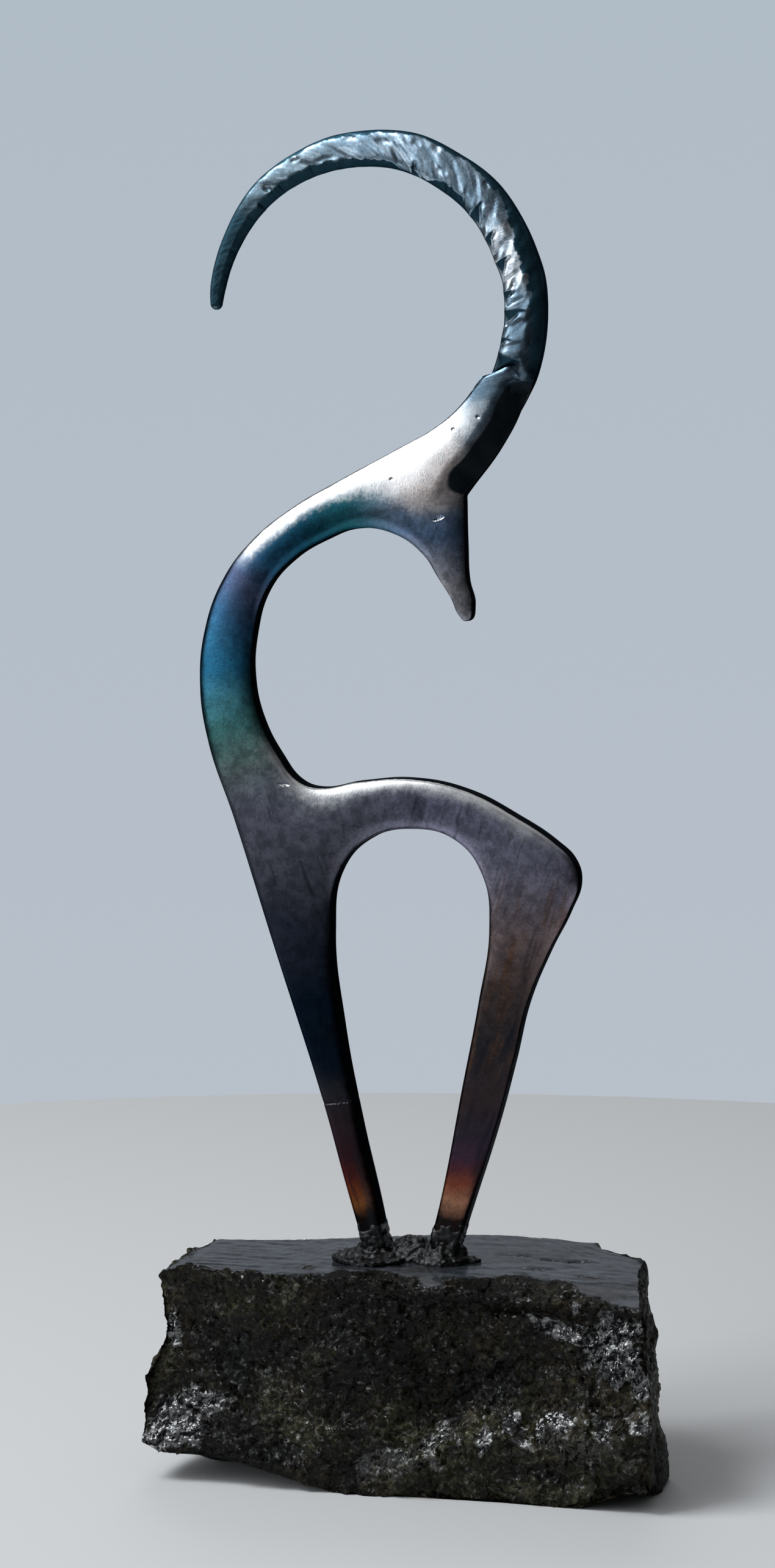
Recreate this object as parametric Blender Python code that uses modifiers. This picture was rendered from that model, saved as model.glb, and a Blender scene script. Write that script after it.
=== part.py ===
"""A stylised antelope of forged, heat-coloured steel, standing on a rough block of dark stone.

Units are metres and +Z is up. The flat figure stands in the XZ plane and looks along +X.
The origin is the middle of the stone's flat underside.
"""

import math

import bmesh
import bpy
from mathutils import Matrix, Vector, noise

MM = 0.001
GAP = 0.3 * MM
# Where the lumps' noise starts from, so that they come out the same in each build.
NOISE_SEED = 1795641579

FIGURE_THICKNESS = 8.0 * MM
FIGURE_EDGE_RADIUS = 1.3 * MM
OUTLINE_STEPS = 4

HORN_CENTRE = (-5.5 * MM, 256.5 * MM)
HORN_OUTER_RADIUS = 37.2 * MM
HORN_ROOT_FLARE = 1.4 * MM
# The arc is a little flatter round this angle, with this half spread.
HORN_FLAT_ANGLE = math.radians(42)
HORN_FLAT_SPREAD = math.radians(34)
HORN_FLAT_DEPTH = 0.9 * MM
HORN_ROOT_ANGLE = math.radians(-40)
HORN_TIP_ANGLE = math.radians(181)
HORN_TAPER_ANGLE = math.radians(60)
HORN_TAPER_POWER = 1.15
HORN_WIDTH = 8.5 * MM
HORN_DEPTH = 8.2 * MM
HORN_ROOT_WAIST = 0.7 * MM
HORN_TIP_WIDTH = 2.3 * MM
HORN_TIP_ROUNDING = math.radians(1.8)
HORN_RINGS = 96
HORN_SIDES = 16
HORN_SQUARENESS = 3.0

RIDGE_FIRST_ANGLE = math.radians(-29)
RIDGE_PITCH = math.radians(12.5)
RIDGE_COUNT = 10
RIDGE_DEPTH = 1.3 * MM
RIDGE_LENGTH = math.radians(8.5)
RIDGE_SLANT = math.radians(9)

STONE_HEIGHT = 47.5 * MM
STONE_CUTS = 13
STONE_ROUGHNESS = 1.3 * MM
STONE_LUMP_SIZE = 15 * MM
STONE_EDGE_ROUNDING = 0.035

# The block's ends and faces in millimetres from the origin, at the top of its middle.
STONE_LEFT = -50.5
STONE_RIGHT = 57.5
STONE_FRONT = -22.0
STONE_BACK = 28.0
# How far, in millimetres, parts of the ends and faces stand out (or are broken away) from there.
LEFT_WAIST_BREAK = 3.0
LEFT_FOOT_JUT = 3.0
LEFT_BACK_BREAK = 4.0
RIGHT_FOOT_JUT = 2.0
RIGHT_BACK_BREAK = 16.5
RIGHT_FRONT_JUT = 2.0
FRONT_LEFT_BREAK = 4.0
BACK_LEFT_BREAK = 18.0
BACK_RIGHT_BREAK = 3.0
# Shallow places in the front face: along (-1 left to 1), up (0 to 1), their half sizes, depth in mm.
FRONT_HOLLOW = (0.28, 0.52, 0.36, 0.26, 2.6)
FRONT_CHIP = (-0.1, 1.0, 0.1, 0.14, 4.0)
# How far, in millimetres, the underside rises at its broken places, and the top falls to its edges.
UNDER_FRONT_LEFT_RISE = 6.5
UNDER_LEFT_END_RISE = 8.5
UNDER_RIGHT_RISE = 5.0
TOP_FRONT_FALL = 2.5
TOP_CORNER_FALL = 1.0

SETTING_GRAIN = 1.1 * MM
SETTING_LUMP_SIZE = 2.6 * MM
SETTING_ROUGHNESS = 0.5 * MM

# Outline of legs, body, neck and head in millimetres (x, z), once round from the front foot.
# A third value marks a corner; all the other points lie on smooth curves.
FOOT_HEIGHT = 49.0
CHEST_AND_NECK = [
    (-7.3, FOOT_HEIGHT, "corner"),
    (-11.9, 64.6),
    (-16.8, 82.1),
    (-28.7, 118.4),
    (-37.2, 144.8),
    (-42.9, 161.2),
    (-44.9, 174.3),
    (-43.7, 186.4),
    (-39.6, 197.1),
    (-33.2, 205.4),
    (-23.4, 213.0),
    (-13.7, 218.4),
    (-0.5, 225.3),
    (8.2, 230.1),
    (13.4, 234.6),
    (18.0, 240.7, "corner"),
    (22.4, 242.1),
]
BROW_AND_HEAD = [
    (26.6, 244.8, "corner"),
    (28.9, 241.4, "corner"),
    (27.2, 235.2),
    (22.2, 225.5),
    (14.3, 215.3, "corner"),
    (14.6, 204.9),
    (15.0, 197.2),
    (16.2, 191.8),
    (15.0, 188.3),
    (13.2, 189.6),
    (11.6, 193.0),
    (8.4, 198.0),
    (5.6, 202.3),
    (-1.0, 207.0),
]
THROAT_AND_BACK = [
    (-9.6, 208.2),
    (-16.4, 205.9),
    (-24.0, 201.4),
    (-29.6, 195.0),
    (-32.6, 185.4),
    (-33.1, 175.0),
    (-31.1, 166.3),
    (-27.0, 158.6),
    (-22.6, 153.2),
    (-18.4, 151.7),
    (-8.7, 153.2),
    (2.4, 154.0),
    (14.5, 151.8),
    (26.6, 145.9),
    (34.4, 140.9),
    (38.6, 136.8),
    (39.8, 132.2),
    (37.6, 125.6),
    (33.3, 117.0),
    (28.6, 105.5),
    (25.6, 92.8),
    (21.8, 78.2),
    (15.2, 57.0),
    (12.8, FOOT_HEIGHT, "corner"),
]
LEG_ARCH = [
    (6.4, FOOT_HEIGHT, "corner"),
    (9.6, 61.8),
    (14.3, 86.5),
    (17.9, 105.5),
    (20.2, 122.0),
    (18.7, 133.2),
    (12.7, 140.8),
    (3.2, 143.1),
    (-6.6, 140.6),
    (-13.2, 133.6),
    (-15.2, 120.0),
    (-13.1, 99.2),
    (-8.9, 77.4),
    (-4.8, 60.1),
    (-2.5, FOOT_HEIGHT, "corner"),
]

# The setting's lumps in millimetres: centre x, y, half length, half depth, height above the stone.
SETTING_LUMPS = [
    (-6.4, -1.6, 8.0, 7.0, 3.4),
    (2.4, 1.8, 6.0, 5.6, 5.4),
    (9.4, -0.4, 6.6, 6.4, 4.4),
    (14.6, 0.6, 3.4, 2.2, 1.6),
    (-5.6, 0.0, 5.6, 6.2, 5.6),
    (10.2, 0.0, 5.8, 6.2, 6.0),
]


def clear_scene():
    for obj in list(bpy.data.objects):
        bpy.data.objects.remove(obj, do_unlink=True)


def new_collection(name):
    collection = bpy.data.collections.new(name)
    bpy.context.scene.collection.children.link(collection)
    return collection


def make_material(name, colour, roughness, metallic):
    material = bpy.data.materials.new(name)
    material.use_nodes = True
    shader = material.node_tree.nodes["Principled BSDF"]
    shader.inputs["Base Color"].default_value = (*colour, 1.0)
    shader.inputs["Roughness"].default_value = roughness
    shader.inputs["Metallic"].default_value = metallic
    return material


def object_from_bmesh(mesh_edit, name, collection):
    mesh = bpy.data.meshes.new(name)
    mesh_edit.to_mesh(mesh)
    mesh_edit.free()
    obj = bpy.data.objects.new(name, mesh)
    collection.objects.link(obj)
    return obj


def finish_part(obj, material, sharp_degrees):
    obj.data.materials.clear()
    obj.data.materials.append(material)
    obj.data.shade_smooth()
    obj.data.set_sharp_from_angle(angle=math.radians(sharp_degrees))


def apply_boolean(obj, other, operation):
    """Joins the other object to this one, or cuts it away, and keeps only the result."""
    modifier = obj.modifiers.new(operation.lower(), "BOOLEAN")
    modifier.operation = operation
    modifier.solver = "EXACT"
    modifier.object = other
    graph = bpy.context.evaluated_depsgraph_get()
    mesh = bpy.data.meshes.new_from_object(obj.evaluated_get(graph))
    obj.modifiers.remove(modifier)
    obj.data = mesh


def smooth_step(value, low, high):
    share = min(1.0, max(0.0, (value - low) / (high - low)))
    return share * share * (3 - 2 * share)


def body_curve(collection, grown=0.0):
    """Legs, body, neck and head: one closed outline, filled and given its thickness."""
    points = CHEST_AND_NECK + BROW_AND_HEAD + THROAT_AND_BACK + LEG_ARCH
    curve = bpy.data.curves.new("antelope_body", "CURVE")
    curve.dimensions = "2D"
    curve.fill_mode = "BOTH"
    curve.resolution_u = OUTLINE_STEPS
    curve.extrude = FIGURE_THICKNESS / 2 - FIGURE_EDGE_RADIUS
    curve.bevel_depth = FIGURE_EDGE_RADIUS + grown
    curve.bevel_resolution = 1
    curve.offset = -FIGURE_EDGE_RADIUS
    spline = curve.splines.new("BEZIER")
    spline.bezier_points.add(len(points) - 1)
    spline.use_cyclic_u = True
    for bezier_point, point in zip(spline.bezier_points, points):
        bezier_point.co = (point[0] * MM, point[1] * MM, 0)
        handle = "VECTOR" if len(point) == 3 else "AUTO"
        bezier_point.handle_left_type = handle
        bezier_point.handle_right_type = handle
    obj = bpy.data.objects.new("antelope_body", curve)
    obj.rotation_euler = (math.radians(90), 0, 0)
    collection.objects.link(obj)
    return obj


def mesh_from_curve(curve_obj, name, collection):
    bpy.context.view_layer.update()
    graph = bpy.context.evaluated_depsgraph_get()
    mesh = bpy.data.meshes.new_from_object(curve_obj.evaluated_get(graph))
    mesh_edit = bmesh.new()
    mesh_edit.from_mesh(mesh)
    bmesh.ops.remove_doubles(mesh_edit, verts=mesh_edit.verts, dist=0.001 * MM)
    bmesh.ops.transform(mesh_edit, matrix=curve_obj.matrix_world, verts=mesh_edit.verts)
    bmesh.ops.recalc_face_normals(mesh_edit, faces=mesh_edit.faces)
    bpy.data.objects.remove(curve_obj, do_unlink=True)
    return object_from_bmesh(mesh_edit, name, collection)


def horn_taper(angle):
    """1 along the thick part of the horn, falling to 0 at its tip."""
    share = (angle - HORN_TAPER_ANGLE) / (HORN_TIP_ANGLE - HORN_TAPER_ANGLE)
    return 1 - max(0.0, share) ** HORN_TAPER_POWER


def ridge_cut(angle, inward):
    """Depth of the oblique cuts at this place; inward is 1 at the inner edge and 0 at the outer."""
    depth = 0.0
    for index in range(RIDGE_COUNT):
        start = RIDGE_FIRST_ANGLE + index * RIDGE_PITCH + RIDGE_SLANT * (1 - inward)
        share = (angle - start) / RIDGE_LENGTH
        if 0 <= share <= 1:
            fade = 1 - smooth_step(index, RIDGE_COUNT - 5, RIDGE_COUNT)
            depth = max(depth, fade * (1 - share) * smooth_step(inward, 0.25, 0.8))
    return depth * RIDGE_DEPTH


def horn_ring(angle):
    """One rounded-square section across the horn, as points in metres."""
    taper = horn_taper(angle)
    width = HORN_TIP_WIDTH + (HORN_WIDTH - HORN_TIP_WIDTH) * taper
    depth = HORN_TIP_WIDTH + (HORN_DEPTH - HORN_TIP_WIDTH) * taper
    depth -= HORN_ROOT_WAIST * (1 - smooth_step(angle, math.radians(-28), math.radians(-10)))
    flare = HORN_ROOT_FLARE * (1 - smooth_step(angle, math.radians(-30), math.radians(-5)))
    flat = HORN_FLAT_DEPTH * math.exp(-(((angle - HORN_FLAT_ANGLE) / HORN_FLAT_SPREAD) ** 2))
    middle_radius = HORN_OUTER_RADIUS + flare - flat - width / 2
    to_tip = max(0.0, 1 - (HORN_TIP_ANGLE - angle) / HORN_TIP_ROUNDING)
    tip_scale = math.sqrt(max(0.0, 1 - 0.85 * to_tip * to_tip))
    ring = []
    for side in range(HORN_SIDES):
        turn = 2 * math.pi * (side + 0.5) / HORN_SIDES
        reach = (abs(math.cos(turn)) ** HORN_SQUARENESS + abs(math.sin(turn)) ** HORN_SQUARENESS)
        reach = reach ** (-1 / HORN_SQUARENESS)
        out = math.cos(turn) * reach
        front = math.sin(turn) * reach
        inward = (1 - out) / 2
        shrink = 1 - ridge_cut(angle, inward) / (width / 2) * smooth_step(abs(front), 0.3, 0.8)
        radius = middle_radius + out * width / 2 * tip_scale * (1 if out > 0 else shrink)
        y = front * depth / 2 * tip_scale * shrink
        x = HORN_CENTRE[0] + radius * math.cos(angle)
        z = HORN_CENTRE[1] + radius * math.sin(angle)
        ring.append(Vector((x, y, z)))
    return ring


def horn(collection):
    """A bar lofted along an arc: it tapers to the tip, and oblique cuts ridge its inner edge."""
    mesh_edit = bmesh.new()
    rings = []
    for index in range(HORN_RINGS):
        share = index / (HORN_RINGS - 1)
        angle = HORN_ROOT_ANGLE + (HORN_TIP_ANGLE - HORN_ROOT_ANGLE) * share
        rings.append([mesh_edit.verts.new(point) for point in horn_ring(angle)])
    for lower, upper in zip(rings, rings[1:]):
        for side in range(HORN_SIDES):
            after = (side + 1) % HORN_SIDES
            mesh_edit.faces.new((lower[side], lower[after], upper[after], upper[side]))
    mesh_edit.faces.new(rings[0])
    mesh_edit.faces.new(rings[-1])
    bmesh.ops.recalc_face_normals(mesh_edit, faces=mesh_edit.faces)
    return object_from_bmesh(mesh_edit, "horn_to_join", collection)


def antelope_figure(parts, helpers):
    figure = mesh_from_curve(body_curve(helpers), "antelope_figure", parts)
    horn_obj = horn(helpers)
    apply_boolean(figure, horn_obj, "UNION")
    bpy.data.objects.remove(horn_obj, do_unlink=True)
    steel = make_material("heat_coloured_steel", (0.16, 0.18, 0.23), 0.32, 1.0)
    finish_part(figure, steel, 40)
    return figure


def stone_ends(across, up):
    """Left and right end of the block in millimetres, at this depth (-1 front) and height (0 to 1)."""
    waist = smooth_step(up, 0.36, 0.66) - smooth_step(up, 0.7, 0.95)
    left = STONE_LEFT + LEFT_WAIST_BREAK * waist - LEFT_FOOT_JUT * (1 - smooth_step(up, 0.36, 0.66))
    left += LEFT_BACK_BREAK * smooth_step(across, -0.6, 1.0)
    right = STONE_RIGHT + RIGHT_FOOT_JUT * (1 - up) - RIGHT_BACK_BREAK * smooth_step(across, 0.2, 1.0)
    return left, right


def shallow(place, along, up):
    """Depth in millimetres, at this place of the front face, of one of its round shallow places."""
    centre_along, centre_up, half_length, half_height, depth = place
    off = ((along - centre_along) / half_length) ** 2 + ((up - centre_up) / half_height) ** 2
    return depth * math.exp(-off)


def stone_faces(along, up):
    """Front and back of the block in millimetres, at this place along it (-1 left) and height."""
    front = STONE_FRONT - RIGHT_FRONT_JUT * smooth_step(along, 0.4, 1.0)
    front += shallow(FRONT_HOLLOW, along, up) + shallow(FRONT_CHIP, along, up)
    front += FRONT_LEFT_BREAK * smooth_step(-along, 0.6, 1.0) * up
    back = STONE_BACK - BACK_LEFT_BREAK * (1 - smooth_step(along, -0.95, 0.5))
    back -= BACK_RIGHT_BREAK * smooth_step(along, 0.6, 1.0)
    return front, back


def stone_underside(x, y):
    """Height of the underside in millimetres: flat, but broken away under its front corners and left end."""
    left_rise = UNDER_FRONT_LEFT_RISE * smooth_step(-x, 4.0, 42.0) * smooth_step(-y, 2.0, 14.0)
    end_rise = UNDER_LEFT_END_RISE * smooth_step(-x, 40.0, 54.0)
    right_rise = UNDER_RIGHT_RISE * smooth_step(x, 38.0, 60.0) * smooth_step(-y, 4.0, 16.0)
    return max(left_rise, end_rise, right_rise)


def stone_top(x, y):
    """Height of the top in millimetres: level under the setting, sloping off towards its front edge."""
    front_fall = TOP_FRONT_FALL * smooth_step(-y, 12.0, 24.0) * smooth_step(x, -2.0, 8.0)
    corner_fall = TOP_CORNER_FALL * smooth_step(-y, 8.0, 24.0) * smooth_step(x, 38.0, 56.0)
    return STONE_HEIGHT / MM - front_fall - corner_fall


def stone_point(along, across, up):
    """Turns a place in the block's cube (-1 to 1, -1 to 1, 0 to 1) into metres."""
    left, right = stone_ends(across, up)
    front, back = stone_faces(along, up)
    x = left + (right - left) * (along + 1) / 2
    y = front + (back - front) * (across + 1) / 2
    low = stone_underside(x, y)
    z = low + (stone_top(x, y) - low) * up
    return Vector((x, y, z)) * MM


def rounded(value, others):
    """Pulls in the cube's edges a little, so that the block has no knife-sharp corners."""
    beyond = max(0.0, max(others) - 0.85) / 0.15
    return value * (1 - STONE_EDGE_ROUNDING * beyond * beyond * (abs(value) > 0.8))


def stone_base(parts):
    mesh_edit = bmesh.new()
    bmesh.ops.create_cube(mesh_edit, size=2)
    bmesh.ops.subdivide_edges(mesh_edit, edges=mesh_edit.edges, cuts=STONE_CUTS, use_grid_fill=True)
    for vert in mesh_edit.verts:
        a, b, c = vert.co
        along = rounded(a, (abs(b), abs(c)))
        across = rounded(b, (abs(a), abs(c)))
        point = stone_point(along, across, (c + 1) / 2)
        if c > -0.999:
            lump = noise.noise_vector(point / STONE_LUMP_SIZE)
            ledge = noise.noise_vector(point / (STONE_LUMP_SIZE * 0.4))
            side = 1 - 0.85 * smooth_step(c, 0.8, 1.0)
            shift = (lump * 1.6 + ledge) * STONE_ROUGHNESS * side
            shift.z *= 1 - smooth_step(c, 0.85, 1.0)
            point += shift
        vert.co = point
    bmesh.ops.recalc_face_normals(mesh_edit, faces=mesh_edit.faces)
    stone = object_from_bmesh(mesh_edit, "stone_base", parts)
    finish_part(stone, make_material("varnished_stone", (0.03, 0.03, 0.026), 0.3, 0.0), 50)
    return stone


def setting_lumps(collection):
    """Overlapping squashed balls, one for each lump, remeshed into one skin."""
    mesh_edit = bmesh.new()
    for centre_x, centre_y, half_length, half_depth, tall in SETTING_LUMPS:
        size = (half_length * MM, half_depth * MM, tall * MM)
        place = Matrix.LocRotScale((centre_x * MM, centre_y * MM, STONE_HEIGHT), None, size)
        bmesh.ops.create_icosphere(mesh_edit, subdivisions=3, radius=1, matrix=place)
    lumps = object_from_bmesh(mesh_edit, "setting_lumps", collection)
    skin = lumps.modifiers.new("skin", "REMESH")
    skin.mode = "VOXEL"
    skin.voxel_size = SETTING_GRAIN
    graph = bpy.context.evaluated_depsgraph_get()
    mesh = bpy.data.meshes.new_from_object(lumps.evaluated_get(graph))
    bpy.data.objects.remove(lumps, do_unlink=True)
    for vert in mesh.vertices:
        vert.co += noise.noise_vector(vert.co / SETTING_LUMP_SIZE) * SETTING_ROUGHNESS
    return mesh


def box(name, low, high, collection):
    """A plain block between two corners in metres."""
    mesh_edit = bmesh.new()
    centre = (Vector(low) + Vector(high)) / 2
    place = Matrix.LocRotScale(centre, None, Vector(high) - Vector(low))
    bmesh.ops.create_cube(mesh_edit, size=1, matrix=place)
    return object_from_bmesh(mesh_edit, name, collection)


def foot_setting(parts, helpers):
    """The lumpy mass round both feet, flat where it lies on the stone, with a pocket for each foot."""
    setting = bpy.data.objects.new("foot_setting", setting_lumps(helpers))
    parts.objects.link(setting)
    below = box("below_setting", (-0.05, -0.05, 0), (0.05, 0.05, STONE_HEIGHT + GAP), helpers)
    apply_boolean(setting, below, "DIFFERENCE")
    feet = mesh_from_curve(body_curve(helpers, GAP), "foot_pockets", helpers)
    apply_boolean(setting, feet, "DIFFERENCE")
    bpy.data.objects.remove(below, do_unlink=True)
    bpy.data.objects.remove(feet, do_unlink=True)
    finish_part(setting, make_material("black_grit", (0.02, 0.02, 0.022), 0.35, 0.0), 60)
    return setting


def main():
    clear_scene()
    noise.seed_set(NOISE_SEED)
    parts = new_collection("antelope_sculpture")
    helpers = new_collection("helpers")
    antelope_figure(parts, helpers)
    foot_setting(parts, helpers)
    stone_base(parts)


main()
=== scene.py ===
import math

import bmesh
import bpy
import numpy as np
from mathutils import Matrix, Vector, geometry, noise

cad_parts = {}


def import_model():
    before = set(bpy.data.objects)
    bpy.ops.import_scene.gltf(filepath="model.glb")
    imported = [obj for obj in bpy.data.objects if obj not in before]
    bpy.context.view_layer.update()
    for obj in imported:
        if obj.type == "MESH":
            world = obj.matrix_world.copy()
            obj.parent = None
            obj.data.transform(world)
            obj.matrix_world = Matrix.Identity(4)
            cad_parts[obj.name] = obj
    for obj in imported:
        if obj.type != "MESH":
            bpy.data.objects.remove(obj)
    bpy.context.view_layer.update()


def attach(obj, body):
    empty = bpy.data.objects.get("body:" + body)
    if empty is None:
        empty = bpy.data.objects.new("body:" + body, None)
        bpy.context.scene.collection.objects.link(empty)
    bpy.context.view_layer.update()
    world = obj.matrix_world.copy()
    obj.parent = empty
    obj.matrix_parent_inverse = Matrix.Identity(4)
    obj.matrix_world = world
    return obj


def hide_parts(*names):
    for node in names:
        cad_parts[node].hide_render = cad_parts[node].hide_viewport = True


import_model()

MM = 0.001
BODY = "root"
# Where the noise starts from, so that the stone and the grit come out the same in each run.
NOISE_SEED = 1795657006

# The figure's outline, in millimetres (x, z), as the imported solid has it. A third value marks a corner.
FOOT_HEIGHT = 49.0
CHEST_AND_NECK = [
    (-7.3, FOOT_HEIGHT, "corner"), (-11.9, 64.6), (-16.8, 82.1), (-28.7, 118.4), (-37.2, 144.8),
    (-42.9, 161.2), (-44.9, 174.3), (-43.7, 186.4), (-39.6, 197.1), (-33.2, 205.4), (-23.4, 213.0),
    (-13.7, 218.4), (-0.5, 225.3), (8.2, 230.1), (13.4, 234.6),
]
# The neck ends at a collar, out of which the horn grows.
COLLAR = [(18.0, 240.7, "corner"), (22.4, 242.1), (26.6, 244.8, "corner"), (28.9, 241.4, "corner")]
# The same outline carried on past the collar, which keeps the neck's thickness up to it.
PAST_COLLAR = [(21.5, 246.7), (22.8, 251.5, "corner"), (31.1, 250.0, "corner"), (29.5, 243.8)]
BROW_AND_HEAD = [
    (27.2, 235.2), (22.2, 225.5), (14.3, 215.3, "corner"), (14.6, 204.9), (15.0, 197.2), (16.2, 191.8),
    (15.0, 188.3), (13.2, 189.6), (11.6, 193.0), (8.4, 198.0), (5.6, 202.3), (-1.0, 207.0),
]
THROAT_AND_BACK = [
    (-9.6, 208.2), (-16.4, 205.9), (-24.0, 201.4), (-29.6, 195.0), (-32.6, 185.4), (-33.1, 175.0),
    (-31.1, 166.3), (-27.0, 158.6), (-22.6, 153.2), (-18.4, 151.7), (-8.7, 153.2), (2.4, 154.0),
    (14.5, 151.8), (26.6, 145.9), (34.4, 140.9), (38.6, 136.8), (39.8, 132.2), (37.6, 125.6),
    (33.3, 117.0), (28.6, 105.5), (25.6, 92.8), (21.8, 78.2), (15.2, 57.0), (12.8, FOOT_HEIGHT, "corner"),
]
LEG_ARCH = [
    (6.4, FOOT_HEIGHT, "corner"), (9.6, 61.8), (14.3, 86.5), (17.9, 105.5), (20.2, 122.0), (18.7, 133.2),
    (12.7, 140.8), (3.2, 143.1), (-6.6, 140.6), (-13.2, 133.6), (-15.2, 120.0), (-13.1, 99.2),
    (-8.9, 77.4), (-4.8, 60.1), (-2.5, FOOT_HEIGHT, "corner"),
]

OUTLINE_STEP = 0.5 * MM
SIDE_ROWS = 6
# Distances from the outline at which rows of points follow it, then the spacing of the rest.
EDGE_ROWS = [0.12 * MM, 0.28 * MM, 0.5 * MM, 0.8 * MM, 1.2 * MM, 1.7 * MM, 2.4 * MM, 3.2 * MM]
FACE_STEP = 0.95 * MM
# Triangles with less area than this lie on the outline's straight parts, outside it.
SLIVER = 4e-11

# Half thickness of the flat limbs at their edge, the radius of their corners, and how much they swell.
FLAT_SIDE = 2.85 * MM
FLAT_CORNER = 1.15 * MM
FLAT_SWELL = 0.15 * MM
# The same for the rounded neck and head, whose swell comes from a film blown up over the outline.
ROUND_SIDE = 1.9 * MM
ROUND_SWELL = 2.0 * MM
EDGE_SWELL = 12 * MM
FILM_STEP = 0.5 * MM
FILM_ROUNDS = 1500
NECK_HALF_WIDTH = 6.5 * MM
NAPE_HALF_WIDTH = 11.0 * MM
# How round the legs, the body and the neck are, from 0 to 1.
LEG_ROUNDNESS = 0.18
BODY_ROUNDNESS = 0.48
NECK_ROUNDNESS = 0.97
# The nape's faces lean back, about this line (x, z in millimetres), towards its upper edge.
NAPE_LEAN = 0.07
NAPE_LINE = (6.0, 222.0)
NAPE_UPWARDS = (-0.42, 0.91)
BEVEL_WIDTH = 5.8 * MM
BEVEL_DEPTH = 1.7 * MM
COLLAR_ROUNDING = 0.35 * MM
COLLAR_END_DROP = 1.3 * MM

# Marks cut in the figure's faces: centre x and z, length, width and depth in millimetres, turn in degrees.
EYE = (9.05, 210.4, 2.6, 0.75, 0.5, 19.0)
PITS = [
    (17.5, 232.0, 0.8, 0.7, 0.22, 0.0),
    (24.6, 237.5, 1.0, 0.9, 0.25, 30.0),
    (-1.4, 218.8, 0.8, 0.5, 0.2, 20.0),
    (-25.4, 152.4, 2.2, 0.6, 0.35, -8.0),
    (12.1, 229.4, 0.9, 0.8, 0.12, 0.0),
]
EYE_POINTS = 0.13
PIT_POINTS = 0.16
# A hairline weld seam across the front leg.
SEAM_LEFT = (-17.2, 82.0)
SEAM_RIGHT = (-9.2, 83.0)
SEAM_WIDTH = 0.32
SEAM_DEPTH = 0.22
SEAM_WANDER = 0.35

HORN_CENTRE = (-5.5 * MM, 256.5 * MM)
HORN_ROOT_ANGLE = math.radians(-40)
HORN_TIP_ANGLE = math.radians(181)
# The bar's inner and outer radius in millimetres along its arc, in degrees.
HORN_EDGES = [
    (-40, 30.4, 39.6), (-25, 29.3, 38.8), (-15, 28.8, 38.1), (-3, 28.4, 37.5), (8, 28.2, 37.3),
    (18, 27.5, 36.7), (30, 27.5, 36.5), (45, 27.7, 36.8), (60, 27.8, 36.5), (75, 28.6, 37.2),
    (84, 29.1, 37.05), (95, 29.5, 36.95), (105, 30.0, 37.2), (118, 30.8, 37.1), (136, 32.0, 37.6),
    (155, 32.9, 37.1), (175, 34.1, 37.3), (181, 34.8, 36.9),
]
HORN_TAPER_ANGLE = math.radians(60)
HORN_TAPER_POWER = 1.15
HORN_DEPTH = 8.2 * MM
HORN_TIP_DEPTH = 2.4 * MM
HORN_ROOT_WAIST = 0.7 * MM
ROOT_SINK = 1.9 * MM
HORN_TIP_ROUNDING = math.radians(1.8)
HORN_RINGS = 700
HORN_SIDES = 84
HORN_SQUARENESS = 4.0
# Angles round the section where its points lie closer together, at its two inner corners.
CROWDED_AT = (math.radians(140), math.radians(220))
# Along the arc, in degrees: where the faces are highest, as a share of the half width from the middle
# line, and how steeply they slope off outwards and inwards from there.
HORN_RIDGE = [
    (-30, 0.25, 0.42, 0.13), (28, 0.20, 0.42, 0.13), (46, -0.40, 0.12, 0.05), (70, -0.50, 0.03, 0.05),
    (120, -0.55, 0.05, 0.05), (150, -0.55, 0.05, 0.05),
]
# Width in millimetres of the dark slope along the inner side, at these degrees of the arc; its dark is
# partly black scale and partly painted shade.
INNER_SLOPE = [
    (43.0, 0.0), (46.0, 1.5), (52.0, 1.9), (57.5, 2.2), (61.5, 1.3), (66.0, 0.0), (79.3, 0.0), (82.0, 1.5),
    (88.0, 1.1), (95.0, 1.4), (114.0, 1.9), (126.0, 1.9), (138.0, 1.5), (150.0, 1.3), (163.0, 1.0),
    (181.0, 0.8),
]
# Width in millimetres of the black band along the outer side, partly black scale and partly painted shade.
OUTER_BAND = [
    (-40, 1.6), (-22, 2.2), (-6, 2.7), (4, 3.3), (13, 3.8), (24, 3.5), (31, 2.3), (38, 1.4), (60, 1.0),
    (86, 0.9), (92, 1.3), (102, 1.1), (111, 0.8), (117, 1.0), (132, 0.7), (181, 0.7),
]
# Chisel cuts in the horn's inner corners: start, end and end of the fall past the crest in degrees, reach
# across and depth in millimetres.
HORN_CUTS = [
    (-29.6, -22.0, -18.5, 4.6, 1.5),
    (-18.5, -15.5, -10.1, 1.5, 0.4),
    (-10.1, -3.6, -2.2, 3.6, 1.2),
    (-2.2, 3.9, 8.4, 1.7, 1.1),
    (8.4, 17.4, 20.8, 2.5, 1.4),
    (20.8, 29.0, 33.6, 1.7, 1.2),
    (33.6, 41.2, 47.0, 2.9, 1.3),
    (68.6, 73.0, 80.0, 1.3, 0.8),
]
CUT_CORNER = 1.35
CUT_WALL = 2.0
CUT_FALL = 0.4
CUT_FALL_REACH = 3.6
# Each cut runs on across the face as a shallow valley that leans over by this many degrees a millimetre.
STRAND_LEAN = 2.1
VALLEY_DEPTH = 0.26
VALLEY_WALL = 2.4
VALLEY_CLIMB = 5.0
# Valleys that start from no cut: degrees, at this distance from the inner side.
LONE_VALLEYS = [48.0, 58.0, 76.0, 87.0, 99.0, 113.0, 128.0]
LONE_REACH = 1.0
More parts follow.
